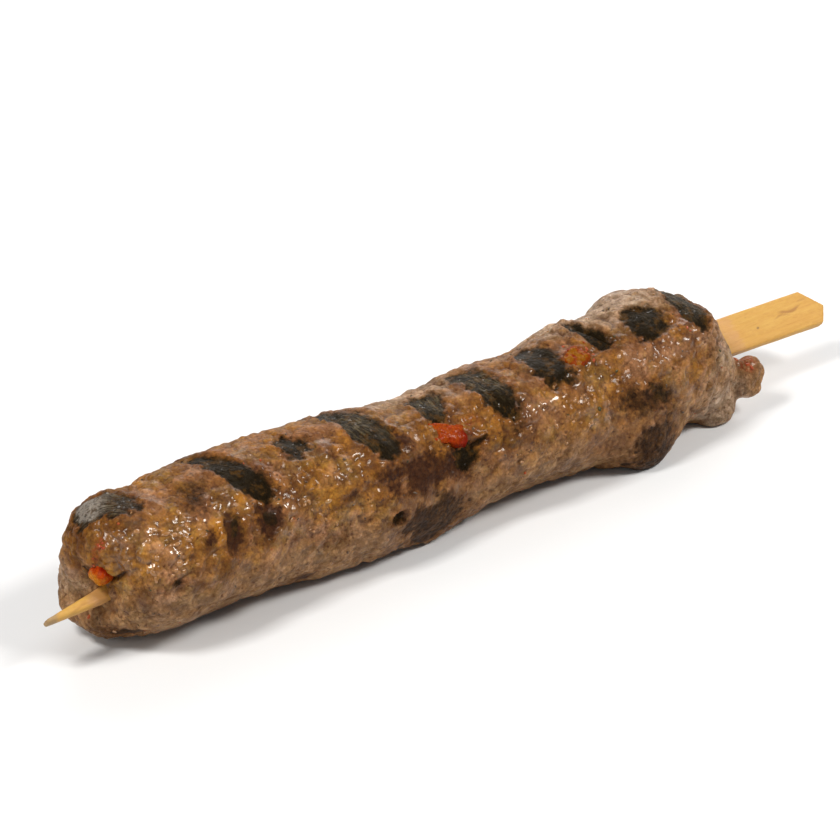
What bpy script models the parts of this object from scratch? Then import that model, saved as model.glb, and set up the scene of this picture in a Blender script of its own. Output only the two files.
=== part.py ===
"""A grilled kofta on a flat wooden skewer, lying on its flattened underside.

The frame has +X along the skewer towards the handle, +Z up and the origin on the ground,
midway along and across the whole. Lengths are in metres and turns in degrees. A turn round the
meat starts at +Y, the back, and passes the top at 90, the front at 180 and the ground at 270.
"""

import math
import random
from dataclasses import dataclass

import bmesh
import bpy
from mathutils import Matrix, Vector

# The skewer: a flat stick with one long slanting point and a cut corner at the handle.
STICK_LENGTH = 0.210
STICK_WIDTH = 0.0087
STICK_THICKNESS = 0.0026
STICK_EDGE_ROUNDING = 0.0004
STICK_TURN = 40.0  # its width points this way in the meat
STICK_HEIGHT = 0.0149  # of its straight half's middle line, above the ground
STICK_DROOP = 0.0026  # how far the handle end bends down edgewise
STICK_STEPS = 24
POINT_LENGTH = 0.050
POINT_BLUNTNESS = 0.0010
CORNER_ALONG = 0.0045
CORNER_ACROSS = 0.0049
END_SLANT = 0.0026  # how much shorter the lower edge is than the handle's furthest corner

# The meat: a log of mince with blunt ends, pressed into uneven folds.
MEAT_START = -0.0950
MEAT_END = 0.0745
MEAT_RADIUS = 0.0152
MEAT_HEIGHT = 0.0152  # of its middle line above the level at which it is cut flat
START_ROUNDING = 0.0115
END_ROUNDING = 0.0125
CAP_SQUARENESS = 0.66  # under 1, the ends are fuller than a half ball
CAP_RINGS = 8
SIDE_RINGS = 54
SEGMENTS = 34
SETTLED_DEPTH = 0.0025  # the soft underside spreads below this height
GROUND_LEVEL = 0.0009

# Fine kneading marks all over the meat.
KNEADING_SEED = 11
KNEADING_LUMPS = 90
KNEADING_SIZE = (0.0040, 0.0085)
KNEADING_HEIGHT = (-0.0009, 0.0010)

FIT_CLEARANCE = 0.0003  # between the meat and what is pressed into it
CUTTER_REACH = 0.010


@dataclass(frozen=True)
class Lump:
    """A soft swelling of the meat, or a hollow where its height is negative."""

    at: float
    turn: float
    size: float
    height: float
    stretch: float = 1.0  # how much longer it is along the skewer than round the meat


@dataclass(frozen=True)
class Lobe:
    """A ball of mince squeezed out of the log, joined to it along a crease."""

    at: float
    turn: float
    offset: float  # from the middle line to the ball's middle
    radii: tuple


@dataclass(frozen=True)
class Pepper:
    """A diced piece of red pepper pressed into the meat."""

    name: str
    at: float
    turn: float
    size: tuple  # along the skewer, round the meat, and into it
    proud: float  # how far it stands out of the meat
    twist: float


LUMPS = (
    Lump(-0.055, 60, 0.017, 0.0023, 1.5),
    Lump(-0.004, 60, 0.014, -0.0022, 1.2),
    Lump(0.013, 58, 0.006, 0.0006),
    Lump(0.022, 58, 0.008, -0.0018),
    Lump(0.036, 58, 0.008, 0.0008),
    Lump(0.043, 58, 0.005, -0.0012),
    Lump(0.056, 58, 0.009, 0.0022),
    Lump(0.0715, 60, 0.009, -0.0038),
    Lump(0.0735, 112, 0.009, -0.0024),
    Lump(0.0735, 190, 0.008, 0.0012),
    Lump(-0.088, 238, 0.009, -0.0021),
    Lump(-0.070, 232, 0.015, -0.0021, 1.3),
    Lump(-0.016, 235, 0.011, 0.0020),
    Lump(0.010, 235, 0.009, -0.0016),
    Lump(0.0330, 230, 0.005, -0.0014),
    Lump(0.0435, 221, 0.0080, 0.0072, 1.25),
    Lump(0.058, 228, 0.006, -0.0010),
    Lump(-0.095, 180, 0.006, -0.0036),
    Lump(-0.0925, 168, 0.010, -0.0040),
    Lump(-0.0915, 292, 0.008, 0.0012),
    Lump(-0.080, 150, 0.013, 0.0012),
    Lump(-0.046, 160, 0.012, -0.0009),
    Lump(-0.026, 140, 0.013, 0.0012),
    Lump(-0.008, 150, 0.010, -0.0008),
    Lump(0.012, 165, 0.013, 0.0010),
    Lump(0.058, 150, 0.012, 0.0014),
)

LOBES = (
    Lobe(0.0680, 238, 0.0128, (0.0060, 0.0060, 0.0062)),
    Lobe(0.0757, 210, 0.0116, (0.0043, 0.0040, 0.0051)),
)

PEPPERS = (
    Pepper("pepper_piece_end", -0.0946, 122, (0.0042, 0.0048, 0.0046), 0.0014, 10),
    Pepper("pepper_piece_middle", -0.0080, 135, (0.0085, 0.0055, 0.0040), 0.0004, -25),
    Pepper("pepper_piece_far", 0.0296, 115, (0.0065, 0.0050, 0.0035), 0.0002, 20),
)


def clear_scene():
    """Removes every object, mesh and material that the file started with."""
    for obj in list(bpy.data.objects):
        bpy.data.objects.remove(obj)
    for mesh in list(bpy.data.meshes):
        bpy.data.meshes.remove(mesh)
    for material in list(bpy.data.materials):
        bpy.data.materials.remove(material)


def new_collection(name):
    """A collection of that name, linked to the scene."""
    collection = bpy.data.collections.new(name)
    bpy.context.scene.collection.children.link(collection)
    return collection


def principled(name, colour, roughness):
    """A plain non-metallic material."""
    material = bpy.data.materials.new(name)
    material.use_nodes = True
    material.diffuse_color = (*colour, 1.0)
    shader = material.node_tree.nodes["Principled BSDF"]
    shader.inputs["Base Color"].default_value = (*colour, 1.0)
    shader.inputs["Roughness"].default_value = roughness
    shader.inputs["Metallic"].default_value = 0.0
    return material


def object_from(builder, name, collection, material=None):
    """An object whose mesh is what the bmesh holds, which is freed."""
    mesh = bpy.data.meshes.new(name)
    builder.to_mesh(mesh)
    builder.free()
    if material:
        mesh.materials.append(material)
    obj = bpy.data.objects.new(name, mesh)
    collection.objects.link(obj)
    return obj


def as_cutter(obj):
    """Marks an object as a tool that shapes others and isn't a part."""
    obj.hide_render = True
    obj.display_type = "WIRE"
    return obj


def boolean(obj, tool, operation):
    """Adds an exact Boolean modifier that uses the tool."""
    modifier = obj.modifiers.new(tool.name, "BOOLEAN")
    modifier.operation = operation
    modifier.solver = "EXACT"
    modifier.object = tool
    return modifier


def direction(turn):
    """The unit vector that points that way round the meat."""
    angle = math.radians(turn)
    return Vector((0.0, math.cos(angle), math.sin(angle)))


# --- the meat -----------------------------------------------------------------------------


def ring_place(ring):
    """How far along the skewer a ring of the plain log lies."""
    last = 2 * CAP_RINGS + SIDE_RINGS
    side_length = MEAT_END - END_ROUNDING - MEAT_START - START_ROUNDING
    if ring <= CAP_RINGS:
        angle = math.pi / 2 * ring / CAP_RINGS
        return MEAT_START + START_ROUNDING * (1 - math.cos(angle))
    if ring >= last - CAP_RINGS:
        angle = math.pi / 2 * (last - ring) / CAP_RINGS
        return MEAT_END - END_ROUNDING * (1 - math.cos(angle))
    return MEAT_START + START_ROUNDING + side_length * (ring - CAP_RINGS) / SIDE_RINGS


def log_radius(at):
    """The radius of the plain log at a place along the skewer."""
    into_start = max(0.0, 1 - (at - MEAT_START) / START_ROUNDING)
    into_end = max(0.0, 1 - (MEAT_END - at) / END_ROUNDING)
    into_cap = min(1.0, max(into_start, into_end))
    return MEAT_RADIUS * (1 - into_cap**2) ** (CAP_SQUARENESS / 2)


def log_normal(point):
    """The outward direction of the plain log at a point of its surface, with the middle line at z 0."""
    side_start = MEAT_START + START_ROUNDING
    side_end = MEAT_END - END_ROUNDING
    past = point.x - min(max(point.x, side_start), side_end)
    rounding = START_ROUNDING if past < 0 else END_ROUNDING
    normal = Vector((past / rounding**2, point.y / MEAT_RADIUS**2, point.z / MEAT_RADIUS**2))
    return normal.normalized()


def side_point(at, turn):
    """The point of the plain log's surface at that place and turn."""
    return Vector((at, 0.0, 0.0)) + log_radius(at) * direction(turn)


def kneading_lumps():
    """The small uneven lumps that hands leave, the same ones each time."""
    chance = random.Random(KNEADING_SEED)
    lumps = []
    for _ in range(KNEADING_LUMPS):
        at = chance.uniform(MEAT_START, MEAT_END)
        turn = chance.uniform(0, 360)
        size = chance.uniform(*KNEADING_SIZE)
        lumps.append(Lump(at, turn, size, chance.uniform(*KNEADING_HEIGHT)))
    return lumps


def swelling(point, placed_lumps):
    """How far the lumps push the surface out at a point of the plain log."""
    total = 0.0
    for centre, lump in placed_lumps:
        apart = point - centre
        apart.x /= lump.stretch
        total += lump.height * math.exp(-apart.length_squared / lump.size**2)
    return total


def placed(lumps):
    """Each lump with its middle on the plain log."""
    return [(side_point(lump.at, lump.turn), lump) for lump in lumps]


def settled(height):
    """A height above the lowest level, with what lies under the soft limit squeezed up."""
    if height >= SETTLED_DEPTH:
        return height
    return SETTLED_DEPTH * math.exp(height / SETTLED_DEPTH - 1)


def shaped(point, placed_lumps):
    """A point of the plain log moved to the kneaded and settled surface, above the ground."""
    moved = point + swelling(point, placed_lumps) * log_normal(point)
    moved.z = settled(moved.z + MEAT_HEIGHT) - GROUND_LEVEL
    return moved


def build_log(collection, material, placed_lumps):
    """The meat without its lobes: a ball's rings spread along the skewer and then kneaded."""
    rings = 2 * CAP_RINGS + SIDE_RINGS
    builder = bmesh.new()
    bmesh.ops.create_uvsphere(
        builder, u_segments=SEGMENTS, v_segments=rings, radius=1.0, matrix=Matrix.Rotation(-math.pi / 2, 4, "Y")
    )
    for vertex in builder.verts:
        ring = round(math.acos(min(1.0, max(-1.0, -vertex.co.x))) / math.pi * rings)
        at = ring_place(ring)
        around = Vector((0.0, vertex.co.y, vertex.co.z))
        if around.length > 0:
            around.normalize()
        plain = Vector((at, 0.0, 0.0)) + log_radius(at) * around
        vertex.co = shaped(plain, placed_lumps)
    bmesh.ops.recalc_face_normals(builder, faces=builder.faces)
    return object_from(builder, "kofta_meat", collection, material)


def build_lobe(lobe, number, cutters):
    """A squeezed-out ball of mince, which the log is joined to."""
    builder = bmesh.new()
    bmesh.ops.create_uvsphere(builder, u_segments=18, v_segments=12, radius=1.0)
    centre = Vector((lobe.at, 0.0, MEAT_HEIGHT - GROUND_LEVEL)) + lobe.offset * direction(lobe.turn)
    for vertex in builder.verts:
        vertex.co = centre + Vector(a * b for a, b in zip(vertex.co, lobe.radii, strict=True))
    return as_cutter(object_from(builder, f"lobe_{number}", cutters))


def build_ground(cutters):
    """A block under the ground level that trims the meat flat where it rests."""
    builder = bmesh.new()
    bmesh.ops.create_cube(builder, size=1.0)
    depth = CUTTER_REACH
    size = Vector((MEAT_END - MEAT_START + 4 * CUTTER_REACH, 8 * MEAT_RADIUS, depth))
    for vertex in builder.verts:
        vertex.co = Vector(a * b for a, b in zip(vertex.co, size, strict=True))
        vertex.co.x += (MEAT_START + MEAT_END) / 2
        vertex.co.z -= depth / 2
    return as_cutter(object_from(builder, "ground", cutters))


# --- the skewer ---------------------------------------------------------------------------


def stick_outline(grow):
    """The stick's flat outline as (along, across) pairs, grown outwards by a clearance."""
    half_length = STICK_LENGTH / 2 + grow
    half_width = STICK_WIDTH / 2 + grow
    point_top = -half_width + POINT_BLUNTNESS + grow
    lower, upper = [], []
    for step in range(STICK_STEPS + 1):
        share = step / STICK_STEPS
        lower.append((-half_length + (2 * half_length - END_SLANT) * share, -half_width))
        along = -half_length + POINT_LENGTH + (2 * half_length - POINT_LENGTH - CORNER_ALONG) * share
        upper.append((along, half_width))
    corner = [(half_length, half_width - CORNER_ACROSS)]
    point = [(-half_length, point_top)]
    return lower + corner + upper[::-1] + point


def bent(along, across, deep):
    """A point of the stick in the frame, from its place along, across and into the flat stick."""
    rise = -STICK_DROOP * max(0.0, 2 * along / STICK_LENGTH) ** 2
    wide = direction(STICK_TURN)
    flat = direction(STICK_TURN + 90)
    middle = Vector((along, 0.0, STICK_HEIGHT))
    return middle + (across + rise) * wide + deep * flat


def build_stick(name, collection, grow=0.0, material=None):
    """The flat stick, bent a little along its width. With growth, it is the hole that it sits in."""
    builder = bmesh.new()
    half_thickness = STICK_THICKNESS / 2 + grow
    outline = stick_outline(grow)
    low = [builder.verts.new((along, across, -half_thickness)) for along, across in outline]
    face = builder.faces.new(low)
    raised = bmesh.ops.extrude_face_region(builder, geom=[face])
    top = [item for item in raised["geom"] if isinstance(item, bmesh.types.BMVert)]
    bmesh.ops.translate(builder, verts=top, vec=(0.0, 0.0, 2 * half_thickness))
    bmesh.ops.recalc_face_normals(builder, faces=builder.faces)
    if material:
        long_edges = [edge for edge in builder.edges if abs(edge.verts[0].co.z - edge.verts[1].co.z) < half_thickness]
        bmesh.ops.bevel(
            builder, geom=long_edges, offset=STICK_EDGE_ROUNDING, segments=2, profile=0.5, affect="EDGES"
        )
    for vertex in builder.verts:
        vertex.co = bent(*vertex.co)
    return object_from(builder, name, collection, material)


# --- the pepper ---------------------------------------------------------------------------


def pepper_place(pepper, placed_lumps):
    """The matrix that puts a pepper piece on the meat, its own Z pointing out of it."""
    plain = side_point(pepper.at, pepper.turn)
    outward = log_normal(plain)
    along = (Vector((1.0, 0.0, 0.0)) - outward.x * outward).normalized()
    if abs(outward.x) > 0.8:
        along = direction(pepper.turn)
    across = outward.cross(along).normalized()
    along = across.cross(outward).normalized()
    surface = shaped(plain, placed_lumps)
    middle = surface + outward * (pepper.proud - pepper.size[2] / 2)
    axes = Matrix((along, across, outward)).transposed().to_4x4()
    return Matrix.Translation(middle) @ axes @ Matrix.Rotation(math.radians(pepper.twist), 4, "Z")


def build_pepper(pepper, name, collection, placed_lumps, grow=0.0, material=None):
    """A diced piece with soft corners. With growth, it is the pocket that it sits in."""
    builder = bmesh.new()
    bmesh.ops.create_cube(builder, size=1.0)
    size = Vector(side + 2 * grow for side in pepper.size)
    for vertex in builder.verts:
        vertex.co = Vector(a * b for a, b in zip(vertex.co, size, strict=True))
    rounding = 0.4 * min(size)
    bmesh.ops.bevel(builder, geom=builder.edges[:], offset=rounding, segments=2, profile=0.6, affect="EDGES")
    bmesh.ops.transform(builder, matrix=pepper_place(pepper, placed_lumps), verts=builder.verts)
    return object_from(builder, name, collection, material)


# --- the whole ----------------------------------------------------------------------------


def centre_on_origin(parts):
    """Hangs every part from one empty that puts the whole's middle over the origin."""
    bpy.context.view_layer.update()
    graph = bpy.context.evaluated_depsgraph_get()
    corners = []
    for part in parts:
        evaluated = part.evaluated_get(graph)
        corners += [part.matrix_world @ Vector(vertex.co) for vertex in evaluated.data.vertices]
    middle_x = (min(c.x for c in corners) + max(c.x for c in corners)) / 2
    middle_y = (min(c.y for c in corners) + max(c.y for c in corners)) / 2
    frame = bpy.data.objects.new("frame", None)
    bpy.context.scene.collection.objects.link(frame)
    for obj in [*parts, *bpy.data.collections["cutters"].objects]:
        obj.parent = frame
    frame.location = (-middle_x, -middle_y, 0.0)


def main():
    """Builds the kofta, its skewer and its pepper pieces."""
    clear_scene()
    kofta = new_collection("kofta_skewer")
    cutters = new_collection("cutters")
    mince = principled("grilled_mince", (0.25, 0.13, 0.06), 0.5)
    wood = principled("pale_wood", (0.72, 0.45, 0.18), 0.6)
    red = principled("red_pepper", (0.50, 0.06, 0.02), 0.3)

    placed_lumps = placed([*LUMPS, *kneading_lumps()])
    meat = build_log(kofta, mince, placed_lumps)
    for number, lobe in enumerate(LOBES):
        boolean(meat, build_lobe(lobe, number, cutters), "UNION")
    boolean(meat, build_ground(cutters), "DIFFERENCE")
    hole = as_cutter(build_stick("stick_hole", cutters, FIT_CLEARANCE))
    boolean(meat, hole, "DIFFERENCE")
    stick = build_stick("skewer_stick", kofta, material=wood)
    parts = [meat, stick]
    for pepper in PEPPERS:
        pocket = build_pepper(pepper, pepper.name + "_pocket", cutters, placed_lumps, FIT_CLEARANCE)
        boolean(meat, as_cutter(pocket), "DIFFERENCE")
        parts.append(build_pepper(pepper, pepper.name, kofta, placed_lumps, material=red))
    for part in parts:
        part.data.shade_smooth()
        part.data.set_sharp_from_angle(angle=math.radians(40))
    centre_on_origin(parts)


main()
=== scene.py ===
"""Dresses the kofta skewer: grilled mince pressed round a flat wooden skewer, with bits of red pepper in it.

Places on the kofta are given as "at", millimetres along the skewer from the middle of the part towards the
handle, and "turn", degrees round the meat: 0 is the back, 90 the top, 180 the front and 270 the ground.
"""

from __future__ import annotations

import logging
import math
import random
from dataclasses import dataclass, field
from enum import Enum
from typing import Sequence

import bpy
import numpy as np
from mathutils import Matrix, Vector, noise
from mathutils.bvhtree import BVHTree


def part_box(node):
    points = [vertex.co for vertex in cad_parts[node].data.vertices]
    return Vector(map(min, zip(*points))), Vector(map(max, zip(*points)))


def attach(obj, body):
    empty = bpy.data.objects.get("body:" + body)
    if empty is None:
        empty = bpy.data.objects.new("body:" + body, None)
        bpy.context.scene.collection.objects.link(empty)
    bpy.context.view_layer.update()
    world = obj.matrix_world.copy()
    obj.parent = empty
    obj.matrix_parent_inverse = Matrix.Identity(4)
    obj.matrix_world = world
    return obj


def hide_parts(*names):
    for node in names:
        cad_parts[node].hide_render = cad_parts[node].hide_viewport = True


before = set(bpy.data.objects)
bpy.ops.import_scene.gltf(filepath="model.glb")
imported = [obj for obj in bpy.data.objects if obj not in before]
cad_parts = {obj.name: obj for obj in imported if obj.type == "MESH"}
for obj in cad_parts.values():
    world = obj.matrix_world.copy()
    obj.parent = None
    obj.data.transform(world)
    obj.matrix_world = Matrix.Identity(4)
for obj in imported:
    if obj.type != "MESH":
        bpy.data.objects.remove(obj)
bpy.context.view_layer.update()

LOG = logging.getLogger("kofta")
MM = 0.001
ROOT = "root"
Rgb = tuple[float, float, float]


# ---------------------------------------------------------------------------------------------- number fields


def smooth_step(low: float, high: float, value: np.ndarray) -> np.ndarray:
    """Eases from 0 at low to 1 at high.

    Args:
        low: where the step starts.
        high: where it ends; it may be below low, for a falling step.
        value: the numbers to ease.

    Returns:
        One number from 0 to 1 for each value.
    """
    t = np.clip((value - low) / (high - low), 0.0, 1.0)
    return t * t * (3.0 - 2.0 * t)


def cloud(points: np.ndarray, size: float, seed: int, stretch: Sequence[float] = (1.0, 1.0, 1.0)) -> np.ndarray:
    """Soft noise over points.

    Args:
        points: one row of three millimetre values for each place.
        size: how wide a soft lump of the noise is, in millimetres.
        seed: shifts the noise, so that two clouds differ.
        stretch: makes the lumps longer along each axis.

    Returns:
        About -1 to 1 for each point.
    """
    shift = np.array([seed * 17.31, seed * -9.77, seed * 5.13])
    scaled = points / (np.asarray(stretch) * size) + shift
    return np.array([noise.noise(p) for p in scaled.tolist()])


def cells(points: np.ndarray, size: float, seed: int) -> tuple[np.ndarray, np.ndarray]:
    """Round grains packed side by side.

    Args:
        points: one row of three millimetre values for each place.
        size: the distance between grains, in millimetres.
        seed: shifts the grains.

    Returns:
        Distance to the nearest grain's middle and to the next one's, in grain sizes.
    """
    shift = np.array([seed * 7.9, seed * 3.3, seed * -11.7])
    near = np.empty(len(points))
    following = np.empty(len(points))
    for i, p in enumerate((points / size + shift).tolist()):
        found = noise.voronoi(p)[0]
        near[i] = found[0]
        following[i] = found[1]
    return near, following


def bell(distance: np.ndarray, reach: float) -> np.ndarray:
    """Rises smoothly from 0 at reach to 1 at no distance."""
    return np.clip(1.0 - (distance / reach) ** 2, 0.0, 1.0) ** 2


# ------------------------------------------------------------------------------------------ places on the kofta


@dataclass(frozen=True)
class CoreLine:
    """The line that the meat lies round, and places told by "at" and "turn".

    Attributes:
        height: how high the line runs, in millimetres.
        radius: the meat's usual radius, in millimetres.
    """

    height: float = 14.3
    radius: float = 15.2

    def turns(self, points: np.ndarray) -> np.ndarray:
        """The turn of each point, 0 to 360 degrees."""
        return np.degrees(np.arctan2(points[:, 2] - self.height, points[:, 1])) % 360.0

    def away(self, points: np.ndarray, at: float, turn: float) -> tuple[np.ndarray, np.ndarray]:
        """Steps over the skin from one place to every point.

        Args:
            points: millimetre rows.
            at: where the place is along the skewer.
            turn: where it is round the meat, in degrees.

        Returns:
            Millimetres along the skewer and millimetres round it.
        """
        round_it = (self.turns(points) - turn + 180.0) % 360.0 - 180.0
        return points[:, 0] - at, np.radians(round_it) * self.radius

    def ray(self, at: float, turn: float) -> tuple[Vector, Vector]:
        """A point well outside the meat over a place, and the direction in to it, in metres."""
        a = math.radians(turn)
        outward = Vector((0.0, math.cos(a), math.sin(a)))
        return (Vector((at, 0.0, self.height)) + outward * 60.0) * MM, -outward


CORE = CoreLine()


class Char(Enum):
    """How a browned place looks: its darkness, greyness and redness."""

    DUSTY = (0.96, 1.6, 0.10)
    ASHEN = (1.0, 0.78, 0.0)
    BAR = (1.0, 0.14, 0.0)
    SOOT = (0.97, 0.15, 0.15)
    SMOKE = (0.86, 0.05, 0.45)
    SCORCH = (0.90, 0.0, 1.0)
    SMUDGE = (0.62, 0.05, 0.40)

    @property
    def darkness(self) -> float:
        """How dark it is in the middle, 0 to 1."""
        return self.value[0]

    @property
    def ash(self) -> float:
        """How much pale grey streaking it has, 0 to 1; above 1 the ash lies all over it."""
        return self.value[1]

    @property
    def redness(self) -> float:
        """How red-brown it is, 0 to 1."""
        return self.value[2]


@dataclass(frozen=True)
class Mark:
    """One browned place: a grill bar's stripe or a scorched spot.

    Attributes:
        at, turn: its middle.
        length: its size round the meat, in millimetres.
        width: its size along the skewer, in millimetres.
        lean: degrees that its front end leans towards the handle.
        look: how it is browned.
        sunk: how deep it is pressed in, in millimetres.
        ragged: how uneven its outline is, 0 to 1.
        taper: how much wider its front end is than its back end, as a share of its width.
        soft: how gradually it fades at its rim, 0 to 1.
    """

    at: float
    turn: float
    length: float
    width: float
    lean: float = 0.0
    look: Char = Char.BAR
    sunk: float = 0.45
    ragged: float = 0.35
    taper: float = 0.0
    soft: float = 0.0

    def spread(self, points: np.ndarray) -> tuple[np.ndarray, np.ndarray]:
        """Millimetres from the middle of the mark, along its length and across it."""
        along, round_it = CORE.away(points, self.at, self.turn)
        a = math.radians(self.lean)
        return round_it * math.cos(a) + along * math.sin(a), along * math.cos(a) - round_it * math.sin(a)

    def reach(self, points: np.ndarray, seed: int) -> np.ndarray:
        """How far out each point is, 0 in the middle of the mark and 1 at its ragged outline."""
        u, v = self.spread(points)
        rough = cloud(points, 3.0, seed) * 0.8 + cloud(points, 1.2, seed + 50) * 0.6
        bow = np.clip(1.0 + self.ragged * rough, 0.4, 1.6)
        half_width = self.width / 2 * np.clip(1.0 + self.taper * u / self.length, 0.3, 1.7)
        # blunt ends and nearly straight sides
        return ((np.abs(u) / (self.length / 2)) ** 3 + (np.abs(v) / half_width) ** 2.4) ** 0.4 / bow


GRILL_MARKS = (
    Mark(-85.5, 72.0, 15.0, 9.5, 40.0, Char.DUSTY, 0.35, 0.45),
    Mark(-70.0, 106.0, 7.5, 7.5, -15.0, Char.SMOKE, 0.15, 0.6, 0.0, 0.7),
    Mark(-58.2, 96.0, 22.0, 6.6, 27.0, Char.BAR, 0.50, 0.35, 0.4),
    Mark(-42.4, 93.0, 8.0, 8.0, 10.0, Char.BAR, 0.40, 0.5, 0.0, 0.2),
    Mark(-28.6, 72.0, 10.0, 5.2, -12.0, Char.BAR, 0.40, 0.4),
    Mark(-25.2, 103.0, 20.0, 9.0, 14.0, Char.ASHEN, 0.50, 0.35, 0.2),
    Mark(-7.6, 102.0, 10.5, 8.0, -18.0, Char.ASHEN, 0.40, 0.45, -0.7),
    Mark(6.8, 102.0, 22.0, 8.2, 9.0, Char.ASHEN, 0.50, 0.35, 0.1),
    Mark(22.4, 98.0, 18.5, 9.6, 3.0, Char.BAR, 0.45, 0.4, 0.2),
    Mark(37.4, 92.0, 12.0, 4.8, 20.0, Char.BAR, 0.50, 0.35, 0.5),
    Mark(50.4, 107.0, 10.0, 9.4, -15.0, Char.BAR, 0.45, 0.45),
    Mark(62.4, 100.0, 18.0, 7.0, 2.0, Char.ASHEN, 0.45, 0.4),
)

FRONT_SPOTS = (
    Mark(-65.8, 144.0, 8.0, 5.4, -20.0, Char.SCORCH, 0.35, 0.6, 0.0, 0.2),
    Mark(-65.4, 141.0, 5.0, 3.0, -20.0, Char.SOOT, 0.10, 0.6, 0.0, 0.4),
    Mark(-71.6, 142.0, 3.0, 5.5, 0.0, Char.SCORCH, 0.10, 0.8, 0.0, 0.7),
    Mark(-55.8, 143.0, 6.8, 8.6, 0.0, Char.SCORCH, 0.35, 0.5, 0.0, 0.1),
    Mark(-56.0, 144.0, 5.0, 5.6, 0.0, Char.SOOT, 0.10, 0.6, 0.0, 0.4),
    Mark(-15.2, 156.0, 9.4, 25.0, -5.0, Char.SCORCH, 0.25, 0.8, 0.0, 0.5),
    Mark(-5.8, 156.5, 6.8, 8.6, 0.0, Char.BAR, 0.40, 0.7, 0.0, 0.15),
    Mark(-2.2, 149.0, 1.4, 8.0, 18.0, Char.SOOT, 0.35, 0.4, 0.0, 0.2),
    Mark(41.0, 168.0, 6.6, 17.0, -14.0, Char.SMOKE, 0.15, 0.9, 0.0, 0.9),
    Mark(45.0, 169.0, 5.2, 8.0, -14.0, Char.SOOT, 0.15, 0.9, 0.0, 0.8),
    Mark(-26.0, 184.0, 3.4, 4.2, 0.0, Char.SOOT, 0.90, 0.3, 0.0, 0.3),
    Mark(-14.8, 205.0, 12.8, 18.0, -6.0, Char.SMOKE, 0.20, 0.6, 0.0, 0.1),
    Mark(43.0, 210.0, 13.0, 14.0, 0.0, Char.SMOKE, 0.15, 0.6, 0.0, 0.15),
    Mark(-19.5, 126.0, 5.0, 4.0, 0.0, Char.SCORCH, 0.10, 0.9, 0.0, 0.8),
    Mark(-35.0, 149.5, 2.2, 4.5, 0.0, Char.SCORCH, 0.30, 0.9, 0.0, 1.0),
    Mark(7.5, 151.0, 4.5, 4.0, 0.0, Char.SMUDGE, 0.10, 0.9, 0.0, 1.0),
    Mark(-87.6, 238.0, 10.0, 3.4, -31.0, Char.SMOKE, 0.10, 0.6, 0.0, 0.2),
    Mark(-81.0, 163.5, 1.5, 2.0, 0.0, Char.SOOT, 0.35, 0.5, 0.0, 0.3),
    Mark(-47.0, 222.0, 3.5, 5.0, 0.0, Char.SCORCH, 0.15, 0.8, 0.0, 0.6),
)

BACK_MARKS = (
    Mark(-78.0, 330.0, 15.0, 5.0, -18.0, ragged=0.5),
    Mark(-62.5, 322.0, 18.0, 5.6, -14.0, ragged=0.45),
    Mark(-46.0, 331.0, 14.0, 4.6, -22.0, Char.SMOKE, 0.30, 0.7, 0.0, 0.5),
    Mark(-30.0, 324.0, 20.0, 5.8, -16.0, Char.ASHEN, 0.50, 0.45),
    Mark(-13.0, 333.0, 11.0, 4.8, -10.0, ragged=0.6, soft=0.3),
    Mark(1.5, 322.0, 18.0, 5.4, -19.0, ragged=0.5),
    Mark(17.5, 330.0, 16.0, 4.4, -13.0, Char.ASHEN, 0.45, 0.5, 0.3),
    Mark(33.5, 326.0, 17.0, 5.4, -11.0, ragged=0.5, soft=0.2),
    Mark(48.0, 331.0, 12.0, 6.0, -18.0, Char.SMOKE, 0.30, 0.7, 0.0, 0.6),
    Mark(64.5, 322.0, 15.0, 4.8, -10.0, ragged=0.5),
    Mark(-52.0, 18.0, 5.5, 8.0, 0.0, Char.SCORCH, 0.25, 0.8, 0.0, 0.7),
    Mark(-51.0, 17.0, 3.2, 4.2, 0.0, Char.SOOT, 0.15, 0.8, 0.0, 0.5),
    Mark(-20.0, 12.0, 7.0, 11.0, 0.0, Char.SCORCH, 0.25, 0.8, 0.0, 0.8),
    Mark(10.0, 20.0, 5.0, 6.0, 0.0, Char.SOOT, 0.35, 0.6, 0.0, 0.3),
    Mark(28.0, 10.0, 6.5, 12.0, 8.0, Char.SCORCH, 0.25, 0.8, 0.0, 0.8),
    Mark(30.0, 9.0, 3.6, 5.0, 8.0, Char.SOOT, 0.15, 0.8, 0.0, 0.5),
    Mark(57.0, 14.0, 5.0, 7.0, 0.0, Char.SOOT, 0.30, 0.7, 0.0, 0.5),
    Mark(-36.0, 262.0, 9.0, 12.0, 0.0, Char.SMUDGE, 0.10, 0.5, 0.0, 0.6),
    Mark(22.0, 258.0, 8.0, 14.0, 0.0, Char.SMUDGE, 0.10, 0.5, 0.0, 0.6),
)


@dataclass(frozen=True)
class Crease:
    """A fold or crack in the meat.

    Attributes:
        at, turn: its middle.
        length: how long it is, in millimetres.
        lean: its direction, in degrees from round the meat towards the handle.
        depth: how deep it is, in millimetres.
        width: how wide it is, in millimetres.
        bend: how far its middle bows sideways, in millimetres.
    """

    at: float
    turn: float
    length: float
    lean: float
    depth: float
    width: float = 0.9
    bend: float = 0.8

    def cut(self, points: np.ndarray) -> np.ndarray:
        """How deep the crease is at each point, in millimetres."""
        along, round_it = CORE.away(points, self.at, self.turn)
        a = math.radians(self.lean)
        u = round_it * math.cos(a) + along * math.sin(a)
        v = along * math.cos(a) - round_it * math.sin(a)
        v = v + self.bend * (1.0 - (2.0 * u / self.length) ** 2) + 0.35 * cloud(points, 2.0, 71)
        ends = smooth_step(self.length / 2, self.length / 4, np.abs(u))
        return self.depth * ends * bell(v, self.width)


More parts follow.
